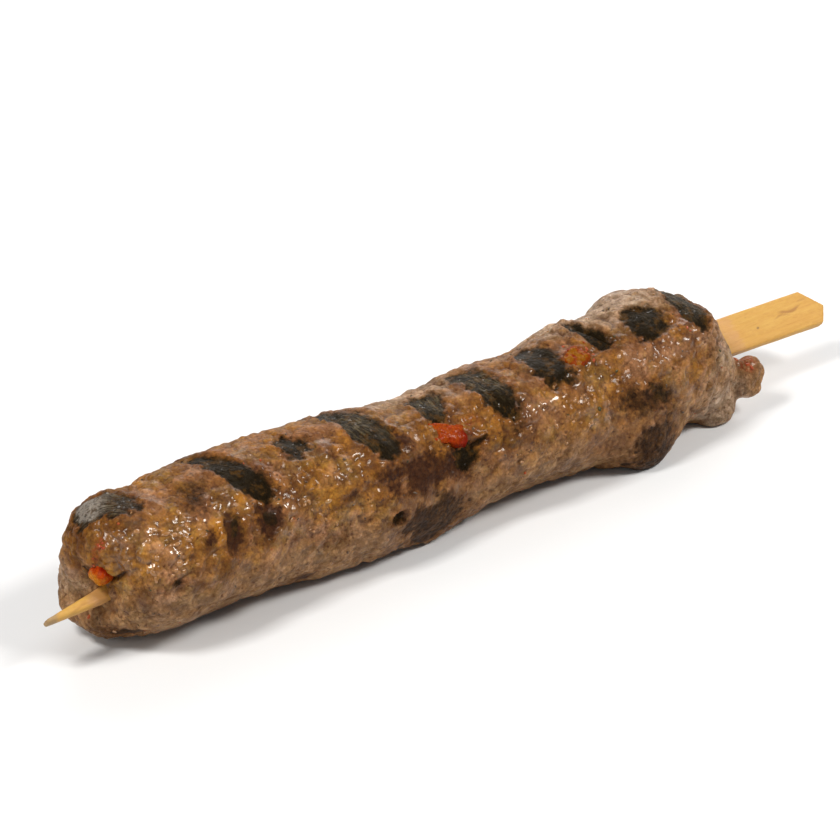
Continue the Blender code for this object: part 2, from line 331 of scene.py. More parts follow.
CREASES = (
    Crease(-90.8, 142.0, 3.6, 60.0, 1.7, 1.7, 0.3),
    Crease(38.5, 96.0, 14.0, 24.0, 0.7, 0.8, 0.4),
    Crease(33.5, 85.0, 12.0, 30.0, 0.35, 0.8, 0.6),
    Crease(-2.0, 147.0, 8.5, 76.0, 0.5, 0.7, 0.4),
    Crease(56.0, 82.0, 16.0, 15.0, 0.35, 1.0, 1.2),
    Crease(-48.0, 170.0, 12.0, 80.0, 0.30, 1.2, 1.0),
    Crease(14.0, 186.0, 16.0, 84.0, 0.30, 1.2, -1.0),
    Crease(-68.0, 205.0, 14.0, 78.0, 0.35, 1.2, 1.2),
    Crease(-10.0, 222.0, 18.0, 86.0, 0.30, 1.3, 1.0),
    Crease(56.0, 196.0, 10.0, 40.0, 0.40, 1.1, 1.0),
    Crease(-34.0, 350.0, 12.0, 70.0, 0.35, 1.1, 1.0),
    Crease(12.0, 345.0, 14.0, 60.0, 0.35, 1.1, -1.0),
    Crease(44.0, 355.0, 12.0, 75.0, 0.35, 1.1, 0.8),
    Crease(-70.0, 358.0, 10.0, 45.0, 0.40, 1.0, 0.8),
)


@dataclass(frozen=True)
class Dent:
    """A soft hollow, or a swell where its depth is below 0: its middle, its reach and its depth, in millimetres."""

    middle: tuple[float, float, float]
    reach: float
    depth: float

    def press(self, points: np.ndarray) -> np.ndarray:
        """How far the skin goes in at each point, in millimetres."""
        return self.depth * bell(np.linalg.norm(points - np.array(self.middle), axis=1), self.reach)


DENTS = (
    Dent((-84.5, 10.5, 27.0), 8.0, -1.4),
    Dent((-92.0, 12.6, 16.0), 7.5, 1.1),
    Dent((-93.4, 8.0, 6.5), 5.0, -0.5),
    Dent((-92.5, -4.5, 13.0), 4.5, 1.2),
    Dent((-90.3, -7.0, 14.0), 3.6, -0.8),
    Dent((-4.0, -11.2, 21.3), 2.4, 0.8),
)

# where the meat laps over a pepper's corner: the middle and the reach, in millimetres
FLAPS = (
    Dent((-88.6, -3.8, 19.4), 2.4, 2.0),
    Dent((-3.4, -8.9, 24.8), 2.8, 2.0),
    Dent((-12.0, -9.7, 24.3), 2.6, 2.0),
)


class Tint(Enum):
    """What a patch of the browned meat is: a colour of its own, a pale colour that also paints a sheen, painted shade,
    or wet with grease.
    """

    GOLD = "gold"
    MAUVE = "mauve"
    PALE = "pale"
    RED = "red"
    AMBER = "amber"
    TOAST = "toast"
    WET = "wet"


@dataclass(frozen=True)
class Patch:
    """A soft-edged patch of another tint: at and turn of its middle, size along and round, and strength."""

    tint: Tint
    at: float
    turn: float
    along: float
    round_it: float
    strength: float = 1.0

    def mask(self, points: np.ndarray, seed: int) -> np.ndarray:
        """How strong the patch is at each point, 0 to 1."""
        u, v = CORE.away(points, self.at, self.turn)
        out = np.hypot(u / (self.along / 2), v / (self.round_it / 2))
        out = out * (1.0 + 0.35 * cloud(points, 3.5, seed))
        return self.strength * smooth_step(1.15, 0.45, out)


PATCHES = (
    Patch(Tint.GOLD, -34.0, 150.0, 30.0, 15.0, 1.0),
    Patch(Tint.GOLD, -48.0, 130.0, 14.0, 12.0, 0.7),
    Patch(Tint.GOLD, 1.0, 125.0, 11.0, 14.0, 0.9),
    Patch(Tint.GOLD, -63.0, 122.0, 12.0, 8.0, 0.6),
    Patch(Tint.GOLD, -76.0, 128.0, 16.0, 14.0, 0.5),
    Patch(Tint.GOLD, -92.0, 175.0, 12.0, 44.0, 0.9),
    Patch(Tint.GOLD, 36.0, 150.0, 16.0, 14.0, 0.6),
    Patch(Tint.GOLD, 54.0, 100.0, 10.0, 12.0, 0.6),
    Patch(Tint.MAUVE, -47.0, 108.0, 8.0, 9.0, 0.5),
    Patch(Tint.MAUVE, 14.0, 150.0, 14.0, 10.0, 0.7),
    Patch(Tint.MAUVE, -42.0, 172.0, 18.0, 8.0, 0.6),
    Patch(Tint.MAUVE, 46.0, 132.0, 16.0, 12.0, 0.6),
    Patch(Tint.MAUVE, -82.0, 168.0, 16.0, 12.0, 0.4),
    Patch(Tint.MAUVE, -20.0, 158.0, 16.0, 8.0, 0.5),
    Patch(Tint.MAUVE, -90.3, 182.0, 4.0, 9.0, 0.7),
    Patch(Tint.AMBER, -69.2, 138.0, 4.4, 6.0, 1.0),
    Patch(Tint.AMBER, -61.4, 122.0, 3.4, 3.0, 1.0),
    Patch(Tint.RED, -91.5, 99.0, 3.2, 3.6, 0.8),
    Patch(Tint.RED, -5.0, 133.0, 13.0, 6.5, 0.55),
    Patch(Tint.RED, 30.0, 108.0, 8.5, 6.0, 0.9),
    Patch(Tint.RED, 75.0, 187.0, 4.5, 5.0, 0.9),
    Patch(Tint.RED, 60.0, 116.0, 7.0, 5.0, 0.4),
    Patch(Tint.WET, -84.0, 128.0, 24.0, 16.0, 1.0),
    Patch(Tint.WET, -66.0, 128.0, 16.0, 12.0, 0.7),
    Patch(Tint.WET, -49.0, 148.0, 18.0, 9.0, 0.8),
    Patch(Tint.WET, -32.0, 140.0, 22.0, 12.0, 0.35),
    Patch(Tint.WET, 15.0, 143.0, 20.0, 10.0, 0.8),
    Patch(Tint.WET, 28.0, 150.0, 14.0, 16.0, 1.0),
    Patch(Tint.WET, 56.0, 132.0, 16.0, 12.0, 0.7),
    Patch(Tint.WET, 50.0, 165.0, 14.0, 10.0, 0.4),
    Patch(Tint.WET, -40.0, 10.0, 40.0, 12.0, 0.5),
    Patch(Tint.WET, 25.0, 5.0, 40.0, 14.0, 0.6),
    # the two pale patches along the top back are a paler meat and a painted sheen along the upper rim
    Patch(Tint.PALE, 50.0, 66.0, 64.0, 20.0, 0.80),
    Patch(Tint.PALE, -7.0, 64.0, 44.0, 18.0, 0.60),
    # painted shade in the hollow low on the front, left of the lobe there
    Patch(Tint.TOAST, 31.0, 188.0, 18.0, 15.0, 0.90),
    Patch(Tint.GOLD, 24.0, 120.0, 9.0, 9.0, 0.8),
    Patch(Tint.PALE, -93.5, 0.0, 6.0, 18.0, 0.35),
    Patch(Tint.PALE, 66.0, 216.0, 16.0, 16.0, 0.70),
    Patch(Tint.PALE, 70.0, 150.0, 20.0, 24.0, 0.45),
)


# --------------------------------------------------------------------------------------------------- mesh tools


def points_of(mesh: bpy.types.Mesh) -> np.ndarray:
    """The mesh's vertices as millimetre rows."""
    flat = np.empty(len(mesh.vertices) * 3, np.float32)
    mesh.vertices.foreach_get("co", flat)
    return flat.reshape(-1, 3).astype(float) / MM


def set_points(mesh: bpy.types.Mesh, points: np.ndarray) -> None:
    """Moves the mesh's vertices to the millimetre rows."""
    mesh.vertices.foreach_set("co", (points * MM).astype(np.float32).ravel())
    mesh.update()


def normals_of(mesh: bpy.types.Mesh) -> np.ndarray:
    """The mesh's vertex normals, one row each."""
    flat = np.empty(len(mesh.vertices) * 3, np.float32)
    mesh.vertex_normals.foreach_get("vector", flat)
    return flat.reshape(-1, 3).astype(float)


def edges_of(mesh: bpy.types.Mesh) -> np.ndarray:
    """The mesh's edges as rows of two vertex numbers."""
    flat = np.empty(len(mesh.edges) * 2, np.int32)
    mesh.edges.foreach_get("vertices", flat)
    return flat.reshape(-1, 2)


def averaged(values: np.ndarray, edges: np.ndarray, rounds: int, share: float = 0.5) -> np.ndarray:
    """Moves each vertex's values towards its neighbours' mean.

    Args:
        values: one row, or one number, for each vertex.
        edges: rows of two vertex numbers.
        rounds: how many times it is done.
        share: how far towards the mean each time.

    Returns:
        The smoothed values.
    """
    rows = values.reshape(len(values), -1).astype(float)
    count = len(rows)
    a, b = edges[:, 0], edges[:, 1]
    joined = np.maximum(np.bincount(a, minlength=count) + np.bincount(b, minlength=count), 1)[:, None]
    for _ in range(rounds):
        total = np.stack(
            [
                np.bincount(a, rows[b, k], count) + np.bincount(b, rows[a, k], count)
                for k in range(rows.shape[1])
            ],
            axis=1,
        )
        rows = rows + share * (total / joined - rows)
    return rows.reshape(values.shape)


def store(mesh: bpy.types.Mesh, name: str, values: np.ndarray) -> None:
    """Keeps one number, or one row of three, for each vertex under a name that materials read."""
    kind = "FLOAT" if values.ndim == 1 else "FLOAT_VECTOR"
    layer = mesh.attributes.new(name, kind, "POINT")
    layer.data.foreach_set("value" if values.ndim == 1 else "vector", values.astype(np.float32).ravel())


def put_on_show(name: str, mesh: bpy.types.Mesh) -> bpy.types.Object:
    """Makes an object of a mesh and links it to the scene."""
    piece = bpy.data.objects.new(name, mesh)
    bpy.context.scene.collection.objects.link(piece)
    return piece


def joined_copy(name: str, parts: Sequence[bpy.types.Mesh]) -> bpy.types.Mesh:
    """One new mesh with the faces of all the parts."""
    points: list[Vector] = []
    faces: list[list[int]] = []
    for part in parts:
        first = len(points)
        points += [v.co.copy() for v in part.vertices]
        faces += [[first + i for i in face.vertices] for face in part.polygons]
    mesh = bpy.data.meshes.new(name)
    mesh.from_pydata(points, [], faces)
    return mesh


def reskinned(name: str, mesh: bpy.types.Mesh, step: float) -> bpy.types.Mesh:
    """Covers a mesh with one even skin.

    Args:
        name: the new mesh's name.
        mesh: the closed shells to cover; gaps narrower than a step are closed.
        step: the skin's face size, in millimetres.

    Returns:
        The skin.
    """
    holder = put_on_show(name + "_holder", mesh)
    cover = holder.modifiers.new("skin", "REMESH")
    cover.mode = "VOXEL"
    cover.voxel_size = step * MM
    cover.use_smooth_shade = True
    graph = bpy.context.evaluated_depsgraph_get()
    skin = bpy.data.meshes.new_from_object(holder.evaluated_get(graph))
    skin.name = name
    bpy.data.objects.remove(holder)
    bpy.data.meshes.remove(mesh)
    return skin


def dress(piece: bpy.types.Object, material: bpy.types.Material, slot: str, *stands_for: str) -> None:
    """Gives a piece its material and body, and hides the solids that it stands for."""
    piece.data.materials.clear()
    piece.data.materials.append(material)
    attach(piece, ROOT)
    if stands_for:
        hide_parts(*stands_for)
    LOG.info("%s: %d faces", piece.name, len(piece.data.polygons))


# ------------------------------------------------------------------------------------------------ shader wiring


class Wiring:
    """Short ways to add and join the nodes of one tree."""

    def __init__(self, tree: bpy.types.NodeTree) -> None:
        """Keeps the tree.

        Args:
            tree: a material's or a group's node tree.
        """
        self.tree = tree

    def add(self, kind: str, **settings: object) -> bpy.types.Node:
        """A new node with its settings."""
        node = self.tree.nodes.new("ShaderNode" + kind)
        for key, value in settings.items():
            setattr(node, key, value)
        return node

    def put(self, socket: bpy.types.NodeSocket, value: object) -> None:
        """Links a socket or sets a plain value on an input."""
        if isinstance(value, bpy.types.NodeSocket):
            self.tree.links.new(value, socket)
        elif isinstance(value, tuple) and len(value) == 3 and socket.type == "RGBA":
            socket.default_value = (*value, 1.0)
        else:
            socket.default_value = value

    def math(self, kind: str, *values: object, clamp: bool = False) -> bpy.types.NodeSocket:
        """A math node on the values."""
        node = self.add("Math", operation=kind, use_clamp=clamp)
        for socket, value in zip(node.inputs, values):
            self.put(socket, value)
        return node.outputs[0]

    def mix(self, share: object, first: object, second: object, kind: str = "MIX") -> bpy.types.NodeSocket:
        """Blends two colours."""
        node = self.add("Mix", data_type="RGBA", blend_type=kind)
        self.put(node.inputs[0], share)
        self.put(node.inputs[6], first)
        self.put(node.inputs[7], second)
        return node.outputs[2]

    def span(self, value: object, low: object, high: object, to_low: object = 0.0, to_high: object = 1.0) -> bpy.types.NodeSocket:
        """Maps low..high smoothly to to_low..to_high."""
        node = self.add("MapRange", interpolation_type="SMOOTHSTEP")
        for socket, number in zip(node.inputs, (value, low, high, to_low, to_high)):
            self.put(socket, number)
        return node.outputs[0]

    def ranged(self, value: object, low: float, high: float, to_low: float, to_high: float) -> bpy.types.NodeSocket:
        """Maps low..high evenly to to_low..to_high."""
        node = self.add("MapRange")
        for socket, number in zip(node.inputs, (value, low, high, to_low, to_high)):
            self.put(socket, number)
        return node.outputs[0]

    def noise(self, vector: object, scale: object, detail: float = 2.0, rough: float = 0.5, twist: float = 0.0) -> bpy.types.NodeSocket:
        """Soft noise, 0 to 1."""
        node = self.add("TexNoise")
        for key, number in (("Vector", vector), ("Scale", scale), ("Detail", detail), ("Roughness", rough), ("Distortion", twist)):
            self.put(node.inputs[key], number)
        return node.outputs[0]

    def voronoi(self, vector: object, scale: object, feature: str = "F1", output: str = "Distance", random_: float = 1.0) -> bpy.types.NodeSocket:
        """Cells: distances or colours."""
        node = self.add("TexVoronoi", feature=feature)
        self.put(node.inputs["Vector"], vector)
        self.put(node.inputs["Scale"], scale)
        self.put(node.inputs["Randomness"], random_)
        return node.outputs[output]

    def scaled(self, vector: object, scale: tuple[float, float, float], shift: tuple[float, float, float] = (0, 0, 0)) -> bpy.types.NodeSocket:
        """The vector, scaled and shifted."""
        node = self.add("Mapping")
        self.put(node.inputs["Vector"], vector)
        self.put(node.inputs["Scale"], scale)
        self.put(node.inputs["Location"], shift)
        return node.outputs[0]

    def kept(self, name: str, output: str = "Fac") -> bpy.types.NodeSocket:
        """What store() kept on the mesh under a name."""
        return self.add("Attribute", attribute_name=name).outputs[output]

    def place(self) -> bpy.types.NodeSocket:
        """The place on the object, in metres."""
        return self.add("TexCoord").outputs["Object"]

    def group(self, group: bpy.types.NodeTree, **values: object) -> bpy.types.Node:
        """A copy of a node group with its inputs set; underscores in the names stand for spaces."""
        node = self.add("Group", node_tree=group)
        for key, value in values.items():
            self.put(node.inputs[key.replace("_", " ")], value)
        return node


@dataclass(frozen=True)
class Effect:
    """A shader node group: its name, inputs and outputs.

    Attributes:
        name: the group's name.
        inputs: name, socket type and default of each input.
        outputs: name and socket type of each output.
    """

    name: str
    inputs: tuple[tuple[str, str, object], ...]
    outputs: tuple[tuple[str, str], ...]

    def open(self) -> tuple[Wiring, bpy.types.Node, bpy.types.Node]:
        """Makes the empty group.

        Returns:
            Its wiring, the node that gives the inputs, and the node that takes the outputs.
        """
        tree = bpy.data.node_groups.new(self.name, "ShaderNodeTree")
        for name, kind, value in self.inputs:
            socket = tree.interface.new_socket(name, in_out="INPUT", socket_type="NodeSocket" + kind)
            if value is not None:
                socket.default_value = value
        for name, kind in self.outputs:
            tree.interface.new_socket(name, in_out="OUTPUT", socket_type="NodeSocket" + kind)
        wiring = Wiring(tree)
        return wiring, tree.nodes.new("NodeGroupInput"), tree.nodes.new("NodeGroupOutput")


# ------------------------------------------------------------------------------------------------ shared effects


def make_mottle() -> bpy.types.NodeTree:
    """Cloudy colour variation: broad drifts with finer ones over them. Gives Mask and Fine, 0 to 1."""
    effect = Effect(
        "mottle",
        (("Vector", "Vector", None), ("Scale", "Float", 0.1), ("Contrast", "Float", 0.5)),
        (("Mask", "Float"), ("Fine", "Float")),
    )
    w, given, wanted = effect.open()
    broad = w.noise(given.outputs["Vector"], given.outputs["Scale"], 3.0, 0.55, 0.3)
    finer = w.noise(given.outputs["Vector"], w.math("MULTIPLY", given.outputs["Scale"], 5.3), 4.0, 0.6)
    both = w.math("ADD", w.math("MULTIPLY", broad, 0.72), w.math("MULTIPLY", finer, 0.28))
    half = w.math("MULTIPLY", w.math("SUBTRACT", 1.0, given.outputs["Contrast"]), 0.22)
    mask = w.span(both, w.math("SUBTRACT", 0.44, half), w.math("ADD", 0.56, half))
    w.put(wanted.inputs["Mask"], mask)
    w.put(wanted.inputs["Fine"], w.span(finer, 0.32, 0.68))
    return w.tree


def make_grain() -> bpy.types.NodeTree:
    """Small packed grains. Gives Height and Crevice, 0 to 1, and Tone, a number of its own for each grain."""
    effect = Effect(
        "packed_grain",
        (("Vector", "Vector", None), ("Scale", "Float", 1.0)),
        (("Height", "Float"), ("Crevice", "Float"), ("Tone", "Float")),
    )
    w, given, wanted = effect.open()
    # the cells are bent first, so that no grain is a neat round one
    warp = w.add("TexNoise", noise_dimensions="3D")
    w.put(warp.inputs["Vector"], given.outputs["Vector"])
    w.put(warp.inputs["Scale"], w.math("MULTIPLY", given.outputs["Scale"], 1.7))
    moved = w.add("VectorMath", operation="MULTIPLY_ADD")
    w.put(moved.inputs[0], warp.outputs["Color"])
    moved.inputs[1].default_value = (0.5, 0.5, 0.5)
    w.put(moved.inputs[2], given.outputs["Vector"])
    distance = w.voronoi(moved.outputs[0], given.outputs["Scale"])
    edge = w.voronoi(moved.outputs[0], given.outputs["Scale"], "DISTANCE_TO_EDGE")
    tone = w.voronoi(moved.outputs[0], given.outputs["Scale"], output="Color")
    w.put(wanted.inputs["Height"], w.span(distance, 0.75, 0.05))
    w.put(wanted.inputs["Crevice"], w.span(edge, 0.16, 0.0))
    split = w.add("SeparateColor")
    w.put(split.inputs[0], tone)
    w.put(wanted.inputs["Tone"], split.outputs[0])
    return w.tree


def make_streaks() -> bpy.types.NodeTree:
    """Fine lines that run along the vector's X. Gives Line, 0 to 1, and Breaks, where they are worn away."""
    effect = Effect(
        "streaks",
        (("Vector", "Vector", None), ("Lines per unit", "Float", 1.0), ("Run", "Float", 0.08)),
        (("Line", "Float"), ("Breaks", "Float")),
    )
    w, given, wanted = effect.open()
    parts = w.add("SeparateXYZ")
    w.put(parts.inputs[0], given.outputs["Vector"])
    joined = w.add("CombineXYZ")
    w.put(joined.inputs[0], w.math("MULTIPLY", parts.outputs[0], given.outputs["Run"]))
    w.put(joined.inputs[1], parts.outputs[1])
    w.put(joined.inputs[2], parts.outputs[2])
    lines = w.noise(joined.outputs[0], given.outputs["Lines per unit"], 3.0, 0.65, 0.4)
    w.put(wanted.inputs["Line"], w.span(lines, 0.40, 0.64))
    breaks = w.noise(given.outputs["Vector"], w.math("MULTIPLY", given.outputs["Lines per unit"], 0.35), 2.0)
    w.put(wanted.inputs["Breaks"], w.span(breaks, 0.38, 0.60))
    return w.tree


def make_grease_film() -> bpy.types.NodeTree:
    """A patchy wet film. Takes how wet the place is; gives Roughness and Coat."""
    effect = Effect(
        "grease_film",
        (
            ("Vector", "Vector", None),
            ("Scale", "Float", 0.6),
            ("Amount", "Float", 0.5),
            ("Dry", "Float", 0.6),
            ("Wet", "Float", 0.25),
        ),
        (("Roughness", "Float"), ("Coat", "Float")),
    )
    w, given, wanted = effect.open()
    patches = w.noise(given.outputs["Vector"], given.outputs["Scale"], 4.0, 0.6)
    wetness = w.math("MULTIPLY", w.span(patches, 0.35, 0.62), given.outputs["Amount"], clamp=True)
    rough = w.add("Mix", data_type="FLOAT")
    w.put(rough.inputs[0], wetness)
    w.put(rough.inputs[2], given.outputs["Dry"])
    w.put(rough.inputs[3], given.outputs["Wet"])
    w.put(wanted.inputs["Roughness"], rough.outputs[0])
    w.put(wanted.inputs["Coat"], wetness)
    return w.tree


@dataclass
class Effects:
    """The node groups that more than one material uses, each built once."""

    mottle: bpy.types.NodeTree = field(default_factory=make_mottle)
    grain: bpy.types.NodeTree = field(default_factory=make_grain)
    streaks: bpy.types.NodeTree = field(default_factory=make_streaks)
    grease: bpy.types.NodeTree = field(default_factory=make_grease_film)


# ------------------------------------------------------------------------------------------------------ finishes


def new_material(name: str) -> tuple[bpy.types.Material, Wiring, bpy.types.Node]:
    """A material with a bare Principled shader.

    Args:
        name: the material's name.

    Returns:
        The material, its wiring and its shader node.
    """
    material = bpy.data.materials.new(name)
    material.use_nodes = True
    material.node_tree.nodes.clear()
    w = Wiring(material.node_tree)
    shader = w.add("BsdfPrincipled")
    w.put(w.add("OutputMaterial").inputs["Surface"], shader.outputs[0])
    return material, w, shader


@dataclass(frozen=True)
class MinceFinish:
    """Browned mince with its grill marks."""

    gold: Rgb = (0.295, 0.124, 0.014)
    brown: Rgb = (0.240, 0.097, 0.015)
    mauve: Rgb = (0.310, 0.145, 0.064)
    olive: Rgb = (0.228, 0.122, 0.021)
    under: Rgb = (0.310, 0.174, 0.082)
    # also paints the sheen band along the top back
    pale: Rgb = (0.460, 0.352, 0.260)
    red: Rgb = (0.250, 0.042, 0.008)
    amber: Rgb = (0.460, 0.200, 0.018)
    # dark specks, and also the painted shade in crevices and hollows
    crust: Rgb = (0.075, 0.024, 0.007)
    fat: Rgb = (0.460, 0.245, 0.060)
    gristle: Rgb = (0.490, 0.270, 0.160)
    char: Rgb = (0.011, 0.0065, 0.0020)
    cinder: Rgb = (0.070, 0.032, 0.006)
    scorch: Rgb = (0.036, 0.011, 0.004)
    ash: Rgb = (0.136, 0.102, 0.054)
    dust: Rgb = (0.300, 0.264, 0.224)

    def make(self, effects: Effects) -> bpy.types.Material:
        """The material.

        Args:
            effects: the shared node groups.

        Returns:
            A material that reads what Kofta keeps on its mesh.
        """
        material, w, shader = new_material("browned_mince")
        p = w.scaled(w.place(), (1 / MM, 1 / MM, 1 / MM))

        drift = w.group(effects.mottle, Vector=p, Scale=0.11, Contrast=0.65)
        small = w.group(effects.mottle, Vector=p, Scale=0.24, Contrast=0.7)
        coarse = w.group(effects.grain, Vector=p, Scale=0.52)
        fine = w.group(effects.grain, Vector=p, Scale=0.95)

        def elsewhere(shift: float) -> bpy.types.NodeSocket:
            """The place, moved so that one noise differs from another."""
            return w.scaled(p, (1.0, 1.0, 1.0), (shift, shift * 0.7, -shift))

        def biased(value: object, more: object, reach: float = 1.0) -> bpy.types.NodeSocket:
            """A mask, raised where another one is."""
            return w.math("ADD", value, w.math("MULTIPLY", more, reach), clamp=True)

        tone = w.mix(drift.outputs["Mask"], self.brown, self.gold)
        tone = w.mix(w.kept("gold"), tone, self.gold)
        rosy = w.span(w.noise(elsewhere(13.0), 0.15, 3.0, 0.55), 0.46, 0.62)
        rosy = w.math("MULTIPLY", rosy, w.span(w.kept("gold"), 0.0, 1.0, 0.75, 0.30))
        tone = w.mix(biased(rosy, w.kept("mauve"), 0.9), tone, self.mauve)
        green = w.span(w.noise(elsewhere(-9.0), 0.17, 3.0, 0.55), 0.50, 0.64)
        tone = w.mix(w.math("MULTIPLY", green, 0.65), tone, self.olive)
        tone = w.mix(w.math("MULTIPLY", w.kept("under"), 0.7), tone, self.under)
        # pale patches: a paler meat, and along the top back a painted sheen
        tone = w.mix(w.math("MULTIPLY", w.kept("pale"), 0.8), tone, self.pale)

        # lighter and darker at every size, from a grain to a thumb's width; the fine grains' tops are painted lighter
        # and their gaps darker, as painted light and shade
        lightness = w.ranged(w.noise(elsewhere(27.0), 0.18, 6.0, 0.84), 0.33, 0.67, 0.38, 1.56)
        lightness = w.math("MULTIPLY", lightness, w.span(coarse.outputs["Tone"], 0.0, 1.0, 0.85, 1.15))
        lightness = w.math("MULTIPLY", lightness, w.span(small.outputs["Mask"], 0.0, 1.0, 0.86, 1.12))
        lightness = w.math("MULTIPLY", lightness, w.span(fine.outputs["Height"], 0.0, 0.9, 0.88, 1.08))
        # what is darker is also redder
        grey = w.add("CombineColor")
        for channel, power in zip(grey.inputs, (1.0, 1.16, 1.45)):
            w.put(channel, w.math("POWER", lightness, power))
        tone = w.mix(1.0, tone, grey.outputs[0], "MULTIPLY")

        # yellow fat, pink gristle and dark specks
        fat = w.span(w.noise(p, 0.55, 4.0, 0.65), 0.60, 0.70)
        tone = w.mix(w.math("MULTIPLY", fat, 0.40), tone, self.fat)
        pink = w.span(w.noise(elsewhere(31.0), 0.60, 4.0, 0.65), 0.61, 0.70)
        tone = w.mix(w.math("MULTIPLY", pink, 0.40), tone, self.gristle)
        speck = w.span(w.noise(elsewhere(-19.0), 0.80, 4.0, 0.65), 0.57, 0.67)
        tone = w.mix(w.math("MULTIPLY", speck, 0.80), tone, self.crust)
        tone = w.mix(w.math("MULTIPLY", w.kept("red"), w.span(small.outputs["Fine"], 0.1, 0.8, 0.2, 1.0)), tone, self.red)
        tone = w.mix(w.kept("amber"), tone, self.amber)

        # painted shade: crevices, hollows and creases are darkened; the meat beside a mark is browned by the grill, and
        # the shade patch is painted darker the same way
        crevice_shade = w.math("MULTIPLY", coarse.outputs["Crevice"], 0.12)
        crevice_shade = biased(crevice_shade, fine.outputs["Crevice"], 0.10)
        deep = biased(crevice_shade, w.kept("cavity_shade"), 0.85)
        tone = w.mix(deep, tone, self.crust)
        browned_and_shaded = w.mix(1.0, tone, (0.66, 0.54, 0.40), "MULTIPLY")
        tone = w.mix(w.kept("toast"), tone, browned_and_shaded)

        # the marks: black, with pale ash streaks along them
        streaks = w.group(
            effects.streaks, Vector=w.kept("mark_place", "Vector"), Lines_per_unit=2.1, Run=0.12
        )
        ashen = w.math("MULTIPLY", streaks.outputs["Line"], w.kept("ash"))
        ashen = w.math("MULTIPLY", ashen, w.span(streaks.outputs["Breaks"], 0.0, 1.0, 0.25, 1.0))
        dusted = w.math("MULTIPLY", w.span(w.kept("ash"), 0.8, 1.6), w.span(small.outputs["Fine"], 0.1, 0.8, 0.25, 1.0))
        ashen = w.math("MAXIMUM", ashen, dusted)
        burnt = w.mix(w.span(w.noise(elsewhere(43.0), 0.45, 4.0, 0.65), 0.50, 0.64, 0.0, 0.8), self.char, self.cinder)
        burnt = w.mix(w.kept("redness"), burnt, self.scorch)
        burnt = w.mix(ashen, burnt, w.mix(w.span(w.kept("ash"), 0.8, 1.5), self.ash, self.dust))
        # its rim is ragged only where it fades
        char = w.kept("char")
        rim = w.math("MULTIPLY", w.math("MULTIPLY", char, w.math("SUBTRACT", 1.0, char)), 2.2)
        chance = w.math("ADD", fine.outputs["Tone"], w.math("SUBTRACT", small.outputs["Fine"], 1.0))
        charred = w.math("ADD", char, w.math("MULTIPLY", rim, chance), clamp=True)
        tone = w.mix(charred, tone, burnt)
        w.put(shader.inputs["Base Color"], tone)

        film = w.group(
            effects.grease, Vector=p, Scale=0.28, Amount=w.kept("grease"), Dry=0.55, Wet=0.30
        )
        w.put(shader.inputs["Roughness"], film.outputs["Roughness"])
        # drops of grease stand on the char too
        drops = w.math("MULTIPLY", w.span(w.noise(elsewhere(57.0), 1.1, 2.0), 0.64, 0.72, 0.0, 0.7), charred)
        wet_meat = w.math("MULTIPLY", film.outputs["Coat"], w.span(charred, 0.0, 1.0, 1.0, 0.25))
        w.put(shader.inputs["Coat Weight"], w.math("MAXIMUM", wet_meat, drops))
        # char gives back less light than grease or wood does
        w.put(shader.inputs["Metallic"], w.math("MULTIPLY", charred, w.ranged(w.kept("redness"), 0.0, 1.0, 0.8, 0.5)))
        shader.inputs["Coat Roughness"].default_value = 0.17
        shader.inputs["Specular IOR Level"].default_value = 0.13
        shader.inputs["Subsurface Weight"].default_value = 0.15
        shader.inputs["Subsurface Radius"].default_value = (1.0, 0.35, 0.20)
        shader.inputs["Subsurface Scale"].default_value = 0.0015

        rise = w.math("MULTIPLY", fine.outputs["Height"], w.span(w.kept("wet"), 0.0, 1.0, 0.5, 0.1))
        rise = w.math("ADD", rise, w.math("MULTIPLY", w.noise(p, 0.9, 4.0, 0.75), w.span(w.kept("wet"), 0.0, 1.0, 2.0, 1.3)))
        rise = w.math("ADD", rise, w.math("MULTIPLY", ashen, 0.4))
        bump = w.add("Bump")
        bump.inputs["Strength"].default_value = 1.0
        bump.inputs["Distance"].default_value = 0.30 * MM
        w.put(bump.inputs["Height"], rise)
        w.put(shader.inputs["Normal"], bump.outputs[0])
        return material


